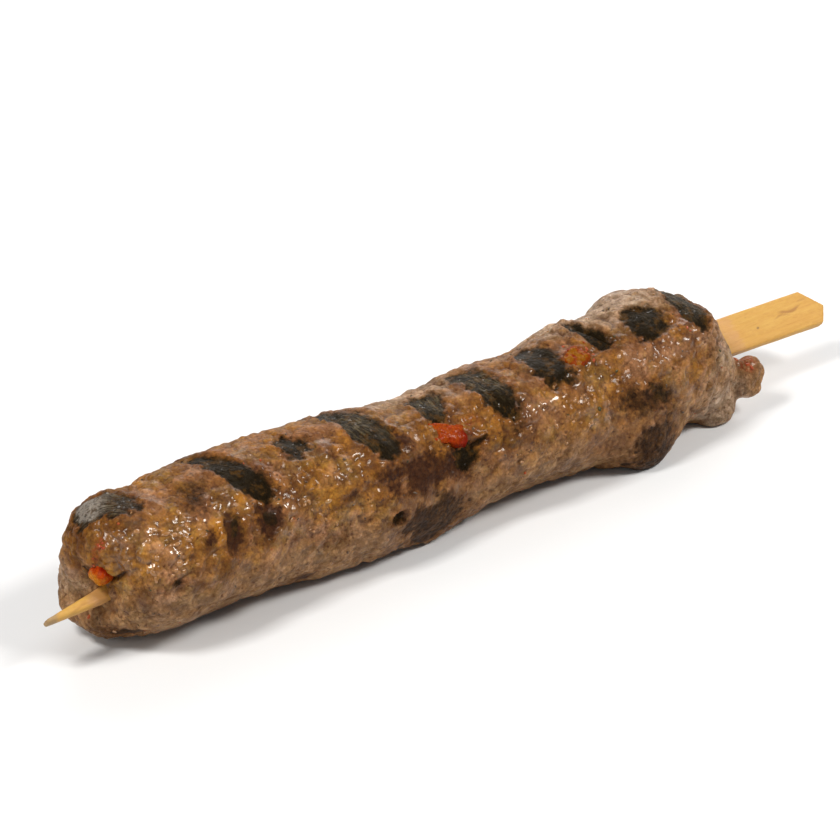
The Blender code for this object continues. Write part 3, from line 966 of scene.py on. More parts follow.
@dataclass(frozen=True)
class PepperFinish:
    """Cooked sweet pepper: a wet red flesh with an orange bloom."""

    red: Rgb = (0.400, 0.032, 0.004)
    orange: Rgb = (0.470, 0.080, 0.005)
    dark: Rgb = (0.140, 0.012, 0.003)
    crimson: Rgb = (0.250, 0.010, 0.004)
    yellow: Rgb = (0.520, 0.190, 0.018)

    def make(self, effects: Effects, name: str, orange: float, shade: float) -> bpy.types.Material:
        """The material.

        Args:
            effects: the shared node groups.
            name: the material's name.
            orange: how much of it is orange, 0 to 1.
            shade: how light it is, 1 for fresh flesh.

        Returns:
            A glossy red material.
        """
        material, w, shader = new_material(name)
        p = w.scaled(w.place(), (1 / MM, 1 / MM, 1 / MM))
        drift = w.group(effects.mottle, Vector=p, Scale=0.55, Contrast=0.6)
        grain = w.group(effects.grain, Vector=p, Scale=1.6)
        tone = w.mix(w.math("MULTIPLY", drift.outputs["Mask"], orange * 2, clamp=True), self.red, self.orange)
        tone = w.mix(w.kept("ripe"), tone, self.crimson)
        tone = w.mix(w.kept("bloom"), tone, self.yellow)
        # painted shade in the crevices between grains
        tone = w.mix(w.math("MULTIPLY", grain.outputs["Crevice"], 0.45), tone, self.dark)
        tone = w.mix(w.span(w.noise(p, 0.9, 3.0), 0.60, 0.74, 0.0, 0.6), tone, self.dark)
        tone = w.mix(1.0, tone, (shade, shade, shade * 0.6), "MULTIPLY")
        w.put(shader.inputs["Base Color"], tone)
        film = w.group(effects.grease, Vector=p, Scale=0.9, Amount=0.9, Dry=0.50, Wet=0.20)
        w.put(shader.inputs["Roughness"], film.outputs["Roughness"])
        w.put(shader.inputs["Coat Weight"], w.math("MULTIPLY", film.outputs["Coat"], 0.10))
        shader.inputs["Coat Roughness"].default_value = 0.15
        shader.inputs["Specular IOR Level"].default_value = 0.04
        shader.inputs["Subsurface Weight"].default_value = 0.15
        shader.inputs["Subsurface Radius"].default_value = (1.0, 0.25, 0.10)
        shader.inputs["Subsurface Scale"].default_value = 0.0015
        bump = w.add("Bump")
        bump.inputs["Strength"].default_value = 0.4
        bump.inputs["Distance"].default_value = 0.2 * MM
        w.put(bump.inputs["Height"], w.math("ADD", grain.outputs["Height"], w.noise(p, 2.2, 3.0)))
        w.put(shader.inputs["Normal"], bump.outputs[0])
        return material


@dataclass(frozen=True)
class WoodFinish:
    """Pale split wood, browned a little by the grill."""

    pale: Rgb = (0.580, 0.340, 0.068)
    warm: Rgb = (0.510, 0.255, 0.042)
    line: Rgb = (0.430, 0.190, 0.035)
    stain: Rgb = (0.300, 0.125, 0.025)
    grime: Rgb = (0.190, 0.150, 0.105)
    juice: Rgb = (0.520, 0.250, 0.120)
    dot: Rgb = (0.110, 0.060, 0.025)

    def make(self, effects: Effects) -> bpy.types.Material:
        """The material.

        Args:
            effects: the shared node groups.

        Returns:
            A material that reads what Stick keeps on its mesh.
        """
        material, w, shader = new_material("split_wood")
        p = w.kept("wood_place", "Vector")
        drift = w.group(effects.mottle, Vector=w.scaled(p, (0.18, 1.0, 1.0)), Scale=0.30, Contrast=0.3)
        wide = w.group(effects.streaks, Vector=p, Lines_per_unit=0.9, Run=0.035)
        thin = w.group(effects.streaks, Vector=p, Lines_per_unit=3.2, Run=0.030)
        tone = w.mix(drift.outputs["Mask"], self.pale, self.warm)
        tone = w.mix(w.math("MULTIPLY", wide.outputs["Line"], 0.30), tone, self.warm)
        tone = w.mix(w.math("MULTIPLY", w.math("MULTIPLY", thin.outputs["Line"], thin.outputs["Breaks"]), 0.30), tone, self.line)
        tone = w.mix(w.kept("juice"), tone, self.juice)
        tone = w.mix(w.kept("stain"), tone, self.stain)
        tone = w.mix(w.kept("dot"), tone, self.dot)
        tone = w.mix(w.kept("grime"), tone, self.grime)
        w.put(shader.inputs["Base Color"], tone)
        film = w.group(effects.grease, Vector=p, Scale=0.4, Amount=w.kept("juice"), Dry=0.58, Wet=0.34)
        w.put(shader.inputs["Roughness"], film.outputs["Roughness"])
        w.put(shader.inputs["Coat Weight"], w.math("MULTIPLY", film.outputs["Coat"], 0.5))
        shader.inputs["Coat Roughness"].default_value = 0.25
        rise = w.math("ADD", w.math("MULTIPLY", thin.outputs["Line"], -0.6), w.math("MULTIPLY", wide.outputs["Line"], -0.4))
        bump = w.add("Bump")
        bump.inputs["Strength"].default_value = 0.45
        bump.inputs["Distance"].default_value = 0.12 * MM
        w.put(bump.inputs["Height"], rise)
        w.put(shader.inputs["Normal"], bump.outputs[0])
        return material


class BitKind(Enum):
    """Small bits in and on the mince: name, colour, second colour and how wet they are."""

    CHILLI = ("chilli_grains", (0.28, 0.030, 0.005), (0.34, 0.070, 0.008), 0.4)
    HERB = ("herb_flecks", (0.030, 0.026, 0.008), (0.060, 0.046, 0.012), 0.1)
    ONION = ("onion_bits", (0.300, 0.150, 0.040), (0.360, 0.200, 0.080), 0.9)
    CRUST = ("crust_crumbs", (0.045, 0.024, 0.012), (0.100, 0.052, 0.022), 0.4)
    GREASE = ("grease_beads", (0.255, 0.115, 0.032), (0.345, 0.165, 0.060), 1.0)

    def make(self, effects: Effects) -> bpy.types.Material:
        """The kind's material.

        Args:
            effects: the shared node groups.

        Returns:
            A mottled, more or less wet material.
        """
        name, colour, second, wet = self.value
        material, w, shader = new_material(name)
        p = w.scaled(w.place(), (1 / MM, 1 / MM, 1 / MM))
        drift = w.group(effects.mottle, Vector=p, Scale=1.1, Contrast=0.7)
        grain = w.group(effects.grain, Vector=p, Scale=2.6)
        tone = w.mix(drift.outputs["Mask"], colour, second)
        # painted shade in the crevices between grains
        w.put(shader.inputs["Base Color"], w.mix(w.math("MULTIPLY", grain.outputs["Crevice"], 0.3), tone, colour))
        film = w.group(effects.grease, Vector=p, Scale=1.5, Amount=wet, Dry=0.5, Wet=0.12 + 0.15 * (1 - wet))
        w.put(shader.inputs["Roughness"], film.outputs["Roughness"])
        w.put(shader.inputs["Coat Weight"], film.outputs["Coat"])
        shader.inputs["Coat Roughness"].default_value = 0.06
        shader.inputs["Specular IOR Level"].default_value = 0.2 + 0.3 * wet
        return material


# ---------------------------------------------------------------------------------------------------- the kofta


@dataclass
class Kofta:
    """The pressed mince: one skin over the solid, with grains, pits, folds and sunk grill marks.

    Attributes:
        skin_step: the skin's face size, in millimetres.
        settling: rounds of smoothing that take the solid's flat faces away.
        swell: size and height of the wide swells, in millimetres.
        swell_turn: where round the meat they are highest, and on the far side.
        lump: size and height of the soft lumps.
        grain: size and height of the round grains.
        meal: size and height of the fine grains.
        crumb: size and height of the uneven roughness between them.
        pit_count: how many small holes it has.
        pit_seed: places them.
        stick_reach: the part of the stick that the skin is closed round, in millimetres along.
        pepper_sink: how far the skin lies under the peppers' faces.
        grilled: how browned the upper front is, 0 to 1.
        peppers: the peppers' nodes, and how far the meat laps over each, in millimetres.
    """

    effects: Effects
    skin_step: float = 0.49
    settling: int = 18
    swell: tuple[float, float] = (12.0, 1.1)
    swell_turn: float = 144.0
    lump: tuple[float, float] = (6.5, 0.60)
    grain: tuple[float, float] = (2.9, 0.34)
    meal: tuple[float, float] = (1.6, 0.12)
    crumb: tuple[float, float] = (1.3, 0.16)
    pit_count: int = 210
    pit_seed: int = 23
    stick_reach: tuple[float, float] = (-91.5, 76.0)
    pepper_sink: float = 0.7
    grilled: float = 0.55
    peppers: tuple[tuple[str, float], ...] = (
        ("pepper_piece_end", 0.10),
        ("pepper_piece_middle", 0.10),
        ("pepper_piece_far", 0.90),
    )
    piece: bpy.types.Object | None = None

    def build(self) -> bpy.types.Object:
        """Makes the kofta and dresses it."""
        mesh = self._skin()
        edges = edges_of(mesh)
        points = averaged(points_of(mesh), edges, self.settling)
        set_points(mesh, points)
        normals = averaged(normals_of(mesh), edges, 3)
        normals /= np.maximum(np.linalg.norm(normals, axis=1), 1e-9)[:, None]
        char, ash, redness, toast, places, pressed = self._browning(points)
        coarse = self._coarseness(points) * (1.0 - 0.75 * char)
        laid = {
            tint: np.max([patch.mask(points, 40 + i) for i, patch in enumerate(PATCHES) if patch.tint is tint], axis=0)
            for tint in Tint
        }
        grains, crevices = self._grains(points, coarse, laid[Tint.WET])
        relief = grains - pressed - self._pits(points) * (1.0 - 0.6 * char)
        creases = sum(crease.cut(points) for crease in CREASES)
        relief = relief - creases - sum(dent.press(points) for dent in DENTS)
        relief = relief - self.pepper_sink * self._over_peppers(points, normals)
        moved = points + normals * relief[:, None]
        low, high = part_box("kofta_meat")
        moved[:, 2] = np.maximum(moved[:, 2], low.z / MM)
        set_points(mesh, moved)
        # painted shade: what lies lower than its surroundings, and the creases, are darkened
        around = averaged(relief, edges, 24)
        cavity_shade = smooth_step(0.05, 0.40, around - relief) * 0.8 + 0.5 * smooth_step(0.2, 0.7, creases)
        masks = {
            "char": char,
            "ash": ash,
            "redness": redness,
            "coarse": coarse,
            "cavity_shade": np.clip(np.maximum(cavity_shade, crevices * 0.35), 0, 1) * (1 - 0.5 * char),
            "under": self._underside(points),
            "mark_place": places,
        }
        masks.update({tint.value: laid[tint] for tint in Tint})
        # browning beside the marks and on the grilled side, and the painted shade of the shade patch
        masks["toast"] = np.maximum(toast, laid[Tint.TOAST])
        masks["grease"] = self._grease(points, laid[Tint.WET], char)
        for name, values in masks.items():
            store(mesh, name, values)
        mesh.shade_smooth()
        self.piece = put_on_show("grilled_mince", mesh)
        dress(self.piece, MinceFinish().make(self.effects), "grilled_mince", "kofta_meat")
        return self.piece

    def _skin(self) -> bpy.types.Mesh:
        """One closed skin over the meat, with the stick's channel and the peppers' pockets filled."""
        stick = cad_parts["skewer_stick"].data.copy()
        points = points_of(stick)
        points[:, 0] = np.clip(points[:, 0], *self.stick_reach)
        set_points(stick, points)
        parts = [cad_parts["kofta_meat"].data, stick]
        parts += [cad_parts[name].data for name, _ in self.peppers]
        return reskinned("grilled_mince", joined_copy("filled", parts), self.skin_step)

    def _coarseness(self, points: np.ndarray) -> np.ndarray:
        """How grainy the skin is: most on the upper front and the near end, least underneath."""
        turns = CORE.turns(points)
        side = 0.70 + 0.30 * smooth_step(205.0, 150.0, turns) * smooth_step(20.0, 90.0, turns)
        end = smooth_step(-70.0, -92.0, points[:, 0]) * 0.30
        return np.clip(side + end + 0.70 * cloud(points, 7.0, 3), 0.15, 1.4)

    def _grains(self, points: np.ndarray, coarse: np.ndarray, wet: np.ndarray) -> tuple[np.ndarray, np.ndarray]:
        """The kneaded lumps and grains.

        Args:
            points: millimetre rows.
            coarse: how grainy each point is.
            wet: where grease fills the gaps between the fine grains.

        Returns:
            Their height in millimetres, and how much each point is in a crevice between grains.
        """
        size, height = self.lump
        lumps = height * (cloud(points, size, 1) + 0.5 * cloud(points, size * 0.5, 2))
        # wide swells, least where they would change the outline
        size, height = self.swell
        facing = np.cos(np.radians(CORE.turns(points) - self.swell_turn)) ** 2
        lumps = lumps + height * cloud(points, size, 8) * facing
        size, height = self.grain
        bent = points + 0.9 * np.stack([cloud(points, 2.4, k) for k in (4, 5, 6)], axis=1)
        near, following = cells(bent, size, 1)
        grains = height * (0.6 - np.minimum(near / 0.62, 1.3) ** 2) * coarse
        crevices = smooth_step(0.14, 0.0, following - near) * coarse
        size, height = self.meal
        near, _ = cells(bent, size, 2)
        meal = height * (0.6 - np.minimum(near / 0.62, 1.3) ** 2) * coarse * (1.0 - 0.75 * wet)
        size, height = self.crumb
        meal = meal + height * cloud(points, size, 14) * coarse * (1.0 - 0.5 * wet)
        return lumps + grains - 0.08 * crevices + meal, crevices

    def _browning(self, points: np.ndarray) -> tuple[np.ndarray, ...]:
        """The grill marks and scorched spots.

        Args:
            points: millimetre rows.

        Returns:
            Darkness, ash, redness and toasting from 0 to 1, the place along and across the nearest
            mark, and how far the skin is pressed in, in millimetres.
        """
        count = len(points)
        char, ash, redness, toast = (np.zeros(count) for _ in range(4))
        pressed = np.zeros(count)
        places = np.zeros((count, 3))
        nearest = np.full(count, 9.0)
        for number, mark in enumerate(GRILL_MARKS + FRONT_SPOTS + BACK_MARKS):
            u, v = mark.spread(points)
            close = np.flatnonzero((np.abs(u) < mark.length * 0.75 + 4) & (np.abs(v) < mark.width * 0.75 + 4))
            if not len(close):
                continue
            reach = mark.reach(points[close], number)
            # the near side is crisp and the far side fades
            core = (0.86 - 0.30 * smooth_step(-0.2, 0.9, v[close] / (mark.width / 2))) * (1.0 - mark.soft)
            rim = 1.08 + 0.30 * mark.soft
            inside = smooth_step(1.0, 0.0, (reach - core) / (rim - core))
            dark = mark.look.darkness * inside
            stronger = dark > char[close]
            chosen = close[stronger]
            # the ash is on the upper part
            upper = smooth_step(0.45, -0.25, u[chosen] / mark.length)
            ash[chosen] = mark.look.ash * smooth_step(1.0, 0.6, reach[stronger]) * (0.15 + 0.85 * upper)
            redness[chosen] = mark.look.redness
            char[close] = np.maximum(char[close], dark)
            toast[close] = np.maximum(toast[close], smooth_step(2.1, 0.9, reach) * 0.85 * mark.look.darkness)
            closer = reach < nearest[close]
            nearest[close] = np.minimum(nearest[close], reach)
            rows = np.stack([u[close], v[close] + number * 7.0, np.full(len(close), float(number))], axis=1)
            places[close[closer]] = rows[closer]
            # pressed in flat, with a low lip round it
            pressed[close] += mark.sunk * inside - 0.35 * mark.sunk * bell(reach - 1.15, 0.30)
        # the side that lay on the grill is browner
        turns = CORE.turns(points) + 10.0 * cloud(points, 8.0, 33)
        grilled = smooth_step(70.0, 90.0, turns) * smooth_step(140.0, 112.0, turns)
        toast = np.maximum(toast, self.grilled * grilled * smooth_step(-88.0, -70.0, points[:, 0]))
        return char, ash, redness, toast, places, pressed

    def _pits(self, points: np.ndarray) -> np.ndarray:
        """The depth of the small holes at each point, in millimetres."""
        draw = random.Random(self.pit_seed)
        depth = np.zeros(len(points))
        order = np.argsort(points[:, 0])
        along = points[order, 0]
        for _ in range(self.pit_count):
            at, turn = draw.uniform(-92.0, 76.0), draw.uniform(0.0, 360.0)
            size, deep = draw.uniform(0.5, 1.1), draw.uniform(0.2, 0.55)
            squash, lean = draw.uniform(0.5, 1.0), draw.uniform(0.0, math.pi)
            first, last = np.searchsorted(along, (at - 2.5, at + 2.5))
            local = order[first:last]
            u, v = CORE.away(points[local], at, turn)
            u, v = u * math.cos(lean) + v * math.sin(lean), (v * math.cos(lean) - u * math.sin(lean)) / squash
            depth[local] = np.maximum(depth[local], deep * bell(np.hypot(u, v), size))
        return depth

    def _over_peppers(self, points: np.ndarray, normals: np.ndarray) -> np.ndarray:
        """1 where a point lies over a piece of pepper, 0 elsewhere."""
        over = np.zeros(len(points))
        lapped = sum(flap.press(points) for flap in FLAPS)
        for name, lap in self.peppers:
            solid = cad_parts[name].data
            tree = BVHTree.FromPolygons([v.co for v in solid.vertices], [p.vertices for p in solid.polygons])
            low, high = (np.array(corner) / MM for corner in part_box(name))
            near = np.all((points > low - 2.0) & (points < high + 2.0), axis=1)
            for i in np.flatnonzero(near):
                inner = Vector((points[i] - normals[i] * 1.1) * MM)
                place, normal, _, _ = tree.find_nearest(inner)
                depth = (place - inner).dot(normal) / MM
                depth += 1.6 * noise.noise(inner / MM / 2.2) - lap - lapped[i]
                over[i] = max(over[i], float(smooth_step(0.0, 0.4, np.array(depth))))
        return over

    def _underside(self, points: np.ndarray) -> np.ndarray:
        """1 on the greyer lower side, 0 above."""
        turns = CORE.turns(points) + 12.0 * cloud(points, 7.0, 12)
        return smooth_step(155.0, 198.0, turns) * smooth_step(385.0, 340.0, turns)

    def _grease(self, points: np.ndarray, wet: np.ndarray, char: np.ndarray) -> np.ndarray:
        """How wet with grease each point is.

        Args:
            points: millimetre rows.
            wet: where the greasy patches are, 0 to 1.
            char: how burnt each point is, 0 to 1.

        Returns:
            0 to 1 for each point.
        """
        turns = CORE.turns(points)
        side = smooth_step(80.0, 110.0, turns) * smooth_step(225.0, 165.0, turns)
        side = np.maximum(side, 0.6 * smooth_step(50.0, 20.0, (turns + 20.0) % 360.0))
        amount = 0.16 + 0.24 * side + 0.75 * wet + 0.25 * cloud(points, 7.0, 21)
        return np.clip(amount, 0, 1) * (1.0 - char)


# ----------------------------------------------------------------------------------------------------- the stick


@dataclass(frozen=True)
class Stain:
    """A mark on the stick's wood: where along and across, its size, strength and kind."""

    kind: str
    along: float
    across: float
    length: float
    width: float
    strength: float = 1.0


STAINS = (
    Stain("stain", 96.0, -0.6, 7.5, 0.9, 0.75),
    Stain("stain", 93.0, -1.3, 5.0, 0.6, 0.5),
    Stain("stain", 92.5, 3.4, 5.0, 0.7, 0.5),
    Stain("stain", 100.0, 0.3, 3.0, 0.6, 0.35),
    Stain("dot", 85.5, -2.0, 0.9, 0.6, 0.9),
    Stain("dot", 84.0, 1.5, 0.5, 0.3, 0.4),
    Stain("grime", -105.0, 0.0, 6.0, 30.0, 0.60),
    Stain("juice", -92.5, 0.0, 5.0, 30.0, 0.45),
    Stain("juice", 78.0, 0.0, 5.0, 30.0, 0.30),
    Stain("stain", -97.0, -3.0, 6.0, 0.7, 0.35),
)


@dataclass
class Stick:
    """The flat skewer, with a fine grain.

    Attributes:
        skin_step: the skin's face size, in millimetres.
        turn: the way its width points, in degrees.
        height: how high its middle line is, in millimetres.
        relief: how deep its grain is.
        wear: how far its long corners are worn.
    """

    effects: Effects
    skin_step: float = 0.30
    turn: float = 40.0
    height: float = 14.9
    relief: float = 0.06
    wear: float = 0.10
    piece: bpy.types.Object | None = None

    def build(self) -> bpy.types.Object:
        """Makes the stick and dresses it."""
        copied = joined_copy("stick_copy", [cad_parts["skewer_stick"].data])
        mesh = reskinned("wooden_skewer", copied, self.skin_step)
        edges = edges_of(mesh)
        points = averaged(points_of(mesh), edges, 2)
        set_points(mesh, points)
        normals = normals_of(mesh)
        a = math.radians(self.turn)
        across = points[:, 1] * math.cos(a) + (points[:, 2] - self.height) * math.sin(a)
        deep = (points[:, 2] - self.height) * math.cos(a) - points[:, 1] * math.sin(a)
        wood = np.stack([points[:, 0], across, deep], axis=1)
        grain = cloud(wood, 0.55, 3, (30.0, 1.0, 1.0)) + 0.6 * cloud(wood, 1.6, 4, (14.0, 1.0, 1.0))
        chips = smooth_step(0.30, 0.62, cloud(wood, 1.3, 5, (3.5, 1.0, 1.0)))
        corner = smooth_step(0.12, 0.30, np.linalg.norm(averaged(normals, edges, 4) - normals, axis=1))
        relief = self.relief * grain - self.wear * chips * corner * 2.0
        set_points(mesh, points + normals * relief[:, None])
        store(mesh, "wood_place", wood)
        for kind in ("stain", "dot", "grime", "juice"):
            store(mesh, kind, self._stained(kind, wood))
        mesh.shade_smooth()
        self.piece = put_on_show("wooden_skewer", mesh)
        dress(self.piece, WoodFinish().make(self.effects), "pale_wood", "skewer_stick")
        return self.piece

    def _stained(self, kind: str, wood: np.ndarray) -> np.ndarray:
        """How stained each point is.

        Args:
            kind: the stains to lay.
            wood: the points' places along, across and into the stick.

        Returns:
            0 to 1 for each point.
        """
        total = np.zeros(len(wood))
        ragged = 0.35 * cloud(wood, 0.8, 8, (3.0, 1.0, 1.0)) + 0.25 * cloud(wood, 0.35, 9, (6.0, 1.0, 1.0))
        for stain in STAINS:
            if stain.kind == kind:
                u = (wood[:, 0] - stain.along) / (stain.length / 2)
                v = (wood[:, 1] - stain.across - 0.35 * np.sin(wood[:, 0] * 0.9)) / (stain.width / 2)
                out = np.hypot(u, v) + ragged
                total = np.maximum(total, stain.strength * smooth_step(1.15, 0.45, out))
        return total


# -------------------------------------------------------------------------------------------------- the peppers


@dataclass
class PepperPiece:
    """A bit of sweet pepper bedded in the meat.

    Attributes:
        node: the solid that it stands for.
        orange: how orange it is.
        shade: how light it is.
        ripe: the middle and reach of its crimson part, in millimetres.
        bloom: the middle and reach of its yellow part.
        patchy: how far those parts' edges wander, in millimetres.
        wrinkle: how wrinkled its skin is, in millimetres.
        slant: how far its lower end leans towards the handle, as a share of its height.
        rounding: how many times its corners are smoothed.
        skin_step: the skin's face size.
    """

    effects: Effects
    node: str
    orange: float = 0.35
    shade: float = 1.0
    ripe: tuple[float, float, float, float] = (0.0, 0.0, 0.0, 1.0)
    bloom: tuple[float, float, float, float] = (0.0, 0.0, 0.0, 1.0)
    patchy: float = 1.2
    wrinkle: float = 0.22
    slant: float = 0.0
    rounding: int = 6
    skin_step: float = 0.18

    def build(self) -> bpy.types.Object:
        """Makes the piece and dresses it."""
        copied = joined_copy(self.node + "_copy", [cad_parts[self.node].data])
        mesh = reskinned(self.node + "_flesh", copied, self.skin_step)
        edges = edges_of(mesh)
        points = averaged(points_of(mesh), edges, self.rounding)
        set_points(mesh, points)
        normals = normals_of(mesh)
        near, following = cells(points, 1.3, 7)
        relief = self.wrinkle * (0.9 * cloud(points, 1.8, 5) + 0.5 * cloud(points, 0.8, 6) + 0.7 * (0.5 - near))
        relief = relief + 0.45 * cloud(points, 3.0, 7)
        points = points + normals * relief[:, None]
        points[:, 0] += self.slant * (points[:, 2].mean() - points[:, 2])
        set_points(mesh, points)
        for name, (x, y, z, reach) in (("ripe", self.ripe), ("bloom", self.bloom)):
            away = np.linalg.norm(points - np.array((x, y, z)), axis=1) + self.patchy * cloud(points, 1.2, 9)
            store(mesh, name, smooth_step(reach, reach * 0.5, away))
        mesh.shade_smooth()
        piece = put_on_show(self.node + "_flesh", mesh)
        name = "cooked_pepper_" + self.node.rsplit("_", 1)[1]
        material = PepperFinish().make(self.effects, name, self.orange, self.shade)
        dress(piece, material, "red_pepper", self.node)
        return piece


# --------------------------------------------------------------------------------------------------- small bits


@dataclass(frozen=True)
class Cluster:
    """Small bits strewn round one place.

    Attributes:
        kind: what they are.
        at, turn: the middle of the place.
        along, round_it: how far they spread, in millimetres.
        count: how many there are.
        size: smallest and largest width, in millimetres.
        flat: their height as a share of their width.
    """

    kind: BitKind
    at: float
    turn: float
    along: float
    round_it: float
    count: int
    size: tuple[float, float]
    flat: float = 0.5


CLUSTERS = (
    Cluster(BitKind.CHILLI, -91.4, 99.0, 1.5, 2.2, 7, (0.5, 1.0)),
    Cluster(BitKind.CHILLI, 30.0, 107.0, 5.0, 4.0, 16, (0.5, 1.1)),
    Cluster(BitKind.CHILLI, 61.0, 118.0, 4.0, 3.0, 5, (0.5, 0.9)),
    Cluster(BitKind.CHILLI, 75.0, 186.0, 1.6, 1.8, 4, (0.7, 1.2)),
    Cluster(BitKind.CHILLI, -6.0, 180.0, 84.0, 140.0, 26, (0.35, 0.7)),
    Cluster(BitKind.HERB, 29.0, 160.0, 0.6, 0.6, 2, (0.9, 1.5), 0.25),
    Cluster(BitKind.HERB, -6.0, 180.0, 84.0, 140.0, 34, (0.4, 0.9), 0.25),
    Cluster(BitKind.ONION, -6.0, 150.0, 84.0, 60.0, 16, (0.8, 1.6), 0.18),
    Cluster(BitKind.CRUST, -6.0, 150.0, 84.0, 150.0, 120, (0.35, 0.8), 0.6),
    Cluster(BitKind.GREASE, -80.0, 134.0, 6.0, 6.5, 24, (0.7, 1.8), 0.24),
    Cluster(BitKind.GREASE, 28.0, 155.0, 5.0, 5.0, 22, (0.5, 1.2), 0.35),
    Cluster(BitKind.GREASE, 15.0, 145.0, 8.0, 5.0, 18, (0.5, 1.1), 0.35),
    Cluster(BitKind.GREASE, -48.0, 150.0, 6.0, 5.0, 14, (0.5, 1.3), 0.35),
    Cluster(BitKind.GREASE, -6.0, 140.0, 84.0, 40.0, 100, (0.4, 1.0), 0.35),
)


@dataclass
class SmallBits:
    """Everything small that is pressed into the kofta or lies on it.

    Attributes:
        ground: the skin that carries the bits.
        seed: places them.
        bed: how deep a bit sits, as a share of its height.
        char_limit: no bit lies where the skin is more burnt than this.
        burnt: the skin's faces that are.
    """

    effects: Effects
    ground: bpy.types.Object
    seed: int = 5
    bed: float = 0.35
    char_limit: float = 0.3
    burnt: set[int] = field(default_factory=set)

    def build(self) -> list[bpy.types.Object]:
        """Makes one piece for each kind."""
        mesh = self.ground.data
        tree = BVHTree.FromPolygons([v.co for v in mesh.vertices], [p.vertices for p in mesh.polygons])
        char = np.empty(len(mesh.vertices), np.float32)
        mesh.attributes["char"].data.foreach_get("value", char)
        self.burnt = {face.index for face in mesh.polygons if char[face.vertices[0]] > self.char_limit}
        made = []
        for kind in BitKind:
            draw = random.Random(self.seed + len(kind.value[0]))
            points: list[Vector] = []
            faces: list[tuple[int, ...]] = []
            for cluster in CLUSTERS:
                if cluster.kind is kind:
                    for _ in range(cluster.count):
                        self._lay(cluster, draw, tree, points, faces)
            bits = bpy.data.meshes.new(kind.value[0])
            bits.from_pydata(points, [], faces)
            bits.shade_smooth()
            piece = put_on_show(kind.value[0], bits)
            slot = "red_pepper" if kind is BitKind.CHILLI else "grilled_mince"
            dress(piece, kind.make(self.effects), slot)
            made.append(piece)
        return made

    def _lay(
        self,
        cluster: Cluster,
        draw: random.Random,
        tree: BVHTree,
        points: list[Vector],
        faces: list[tuple[int, ...]],
    ) -> None:
        """Adds one bit where the skin is.

        Args:
            cluster: the bit's cluster.
            draw: gives its place and shape.
            tree: the skin.
            points: the bits' points, added to.
            faces: the bits' faces, added to.
        """
        at = cluster.at + draw.uniform(-1, 1) * cluster.along
        turn = cluster.turn + math.degrees(draw.uniform(-1, 1) * cluster.round_it / CORE.radius)
        width = draw.uniform(*cluster.size)
        longer = draw.uniform(0.6, 1.5)
        spin, shape_seed = draw.uniform(0, math.tau), draw.uniform(0, 100)
        start, inward = CORE.ray(at, turn)
        place, normal, face, _ = tree.ray_cast(start, inward)
        if place is None or place.z < 1.0 * MM or face in self.burnt:
            return
        side = normal.orthogonal().normalized()
        basis = Matrix((side, normal.cross(side), normal)).transposed() @ Matrix.Rotation(spin, 3, "Z")
        rings, around = 4, 8
        first = len(points)
        half = width / 2 * MM
        shape = Vector((longer, 1.0 / longer, cluster.flat * 2.0)) * half
        centre = place - normal * (self.bed * shape.z)
        for ring in range(rings + 1):
            lean = math.pi * ring / rings
            for step in range(around if 0 < ring < rings else 1):
                turn_ = math.tau * step / around
                unit = Vector((math.sin(lean) * math.cos(turn_), math.sin(lean) * math.sin(turn_), math.cos(lean)))
                bulge = 1.0 + 0.28 * noise.noise(unit * 1.4 + Vector((shape_seed, 0, 0)))
                points.append(centre + basis @ Vector(unit * bulge * shape))
        last = len(points) - 1
        for step in range(around):
            following = (step + 1) % around
            faces.append((first, first + 1 + step, first + 1 + following))
            for ring in range(rings - 2):
                low = first + 1 + ring * around
                faces.append((low + step, low + around + step, low + around + following, low + following))
            low = first + 1 + (rings - 2) * around
            faces.append((low + step, last, low + following))


# ----------------------------------------------------------------------------------------------------- the studio


@dataclass(frozen=True)
class Lamp:
    """A soft lamp.

    Attributes:
        name: its name.
        right, up, back: where it is from the object, seen from the camera, in metres.
        size: its side, in metres.
        power: in watts.
        colour: its light.
    """

    name: str
    right: float
    up: float
    back: float
    size: float
    power: float
    colour: Rgb = (1.0, 1.0, 1.0)


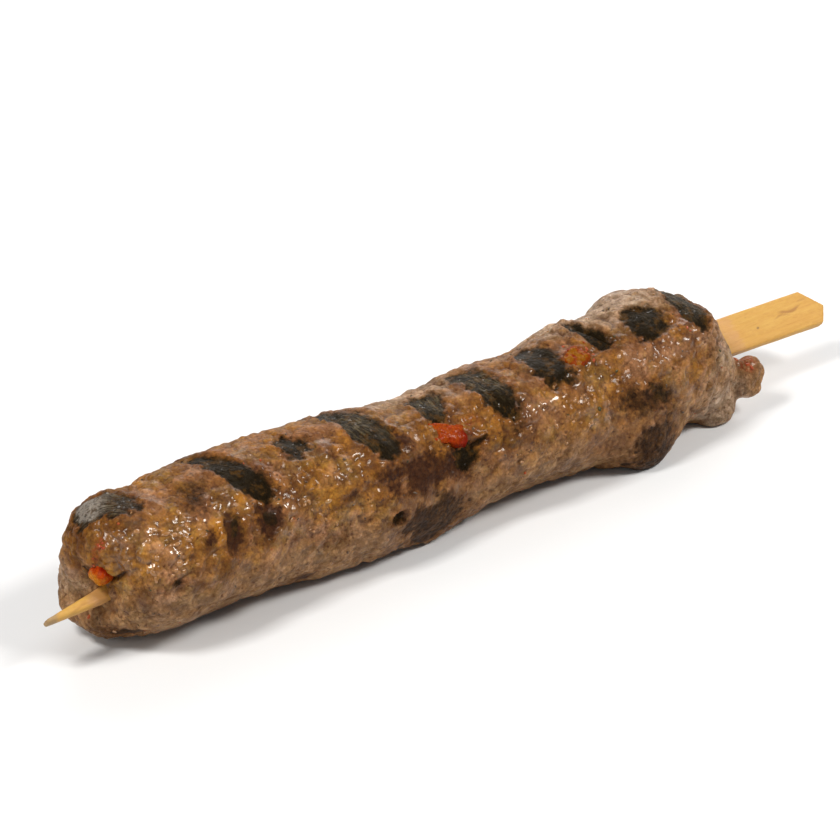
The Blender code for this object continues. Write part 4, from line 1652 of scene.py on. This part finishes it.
@dataclass
class Studio:
    """A plain pale floor, soft light and the camera.

    Attributes:
        azimuth, elevation: where the camera stands, in degrees.
        distance: from the aim, in metres.
        lens: the focal length, in millimetres.
        aim: what it looks at, to the right of and above the origin as the camera sees it, in metres.
    """

    azimuth: float = -38.81
    elevation: float = 29.5
    distance: float = 1.0
    lens: float = 202.7
    aim: tuple[float, float] = (-0.00649, 0.01798)
    floor_colour: Rgb = (0.74, 0.76, 0.80)
    sky: float = 0.18
    lamps: tuple[Lamp, ...] = (
        Lamp("key_lamp", 0.64, 0.54, 0.45, 0.24, 6.8, (1.0, 0.96, 0.89)),
        Lamp("side_lamp", -0.42, 0.50, 0.68, 0.22, 5.6, (1.0, 0.96, 0.89)),
        Lamp("back_lamp", 0.05, 0.75, -0.40, 0.70, 4.6, (1.0, 0.97, 0.93)),
        Lamp("end_lamp", -0.63, 0.08, 0.70, 0.35, 1.3, (1.0, 0.93, 0.82)),
    )

    def build(self) -> None:
        """Makes the floor, the lamps and the camera."""
        a, e = math.radians(self.azimuth), math.radians(self.elevation)
        right = Vector((math.cos(a), math.sin(a), 0.0))
        up = Vector((-math.sin(a) * math.sin(e), math.cos(a) * math.sin(e), math.cos(e)))
        back = right.cross(up)
        scene = bpy.context.scene
        aim = right * self.aim[0] + up * self.aim[1]
        camera = bpy.data.objects.new("camera", bpy.data.cameras.new("camera"))
        camera.data.lens, camera.data.sensor_width, camera.data.clip_start = self.lens, 36.0, 0.01
        axes = Matrix((right, up, back)).transposed().to_4x4()
        camera.matrix_world = Matrix.Translation(aim + back * self.distance) @ axes
        scene.collection.objects.link(camera)
        scene.camera = camera
        for lamp in self.lamps:
            light = bpy.data.lights.new(lamp.name, "AREA")
            light.shape, light.size, light.energy, light.color = "SQUARE", lamp.size, lamp.power, lamp.colour
            holder = bpy.data.objects.new(lamp.name, light)
            place = right * lamp.right + up * lamp.up + back * lamp.back
            holder.matrix_world = Matrix.Translation(place) @ place.to_track_quat("Z", "Y").to_matrix().to_4x4()
            scene.collection.objects.link(holder)
        world = bpy.data.worlds.new("studio")
        world.use_nodes = True
        world.node_tree.nodes["Background"].inputs["Color"].default_value = (1.0, 1.0, 1.0, 1.0)
        world.node_tree.nodes["Background"].inputs["Strength"].default_value = self.sky
        scene.world = world
        scene.view_settings.view_transform = "Standard"
        self._floor()

    def _floor(self) -> None:
        """A plain pale floor under the object."""
        mesh = bpy.data.meshes.new("floor")
        half = 3.0
        mesh.from_pydata([(-half, -half, 0), (half, -half, 0), (half, half, 0), (-half, half, 0)], [], [(0, 1, 2, 3)])
        floor = put_on_show("floor", mesh)
        material, w, shader = new_material("floor")
        shader.inputs["Base Color"].default_value = (*self.floor_colour, 1.0)
        shader.inputs["Roughness"].default_value = 0.9
        shader.inputs["Specular IOR Level"].default_value = 0.1
        mesh.materials.append(material)


# ------------------------------------------------------------------------------------------------------- assembly


def main() -> None:
    """Builds every piece in turn."""
    logging.basicConfig(level=logging.INFO, format="%(name)s %(message)s")
    effects = Effects()
    kofta = Kofta(effects).build()
    Stick(effects).build()
    crimson, yellow = (-90.0, -2.5, 20.5, 2.6), (-92.5, -1.5, 16.8, 3.4)
    PepperPiece(effects, "pepper_piece_end", 0.35, 0.88, crimson, yellow, rounding=26).build()
    PepperPiece(effects, "pepper_piece_middle", 0.55, 0.64, (-4.0, -10.8, 20.8, 4.6), slant=0.3).build()
    PepperPiece(effects, "pepper_piece_far", 0.90, 0.46, bloom=(29.4, -5.3, 27.8, 2.6), patchy=4.5, wrinkle=0.32).build()
    SmallBits(effects, kofta).build()
    Studio().build()
    bpy.context.view_layer.update()


if __name__ == "__main__":
    main()
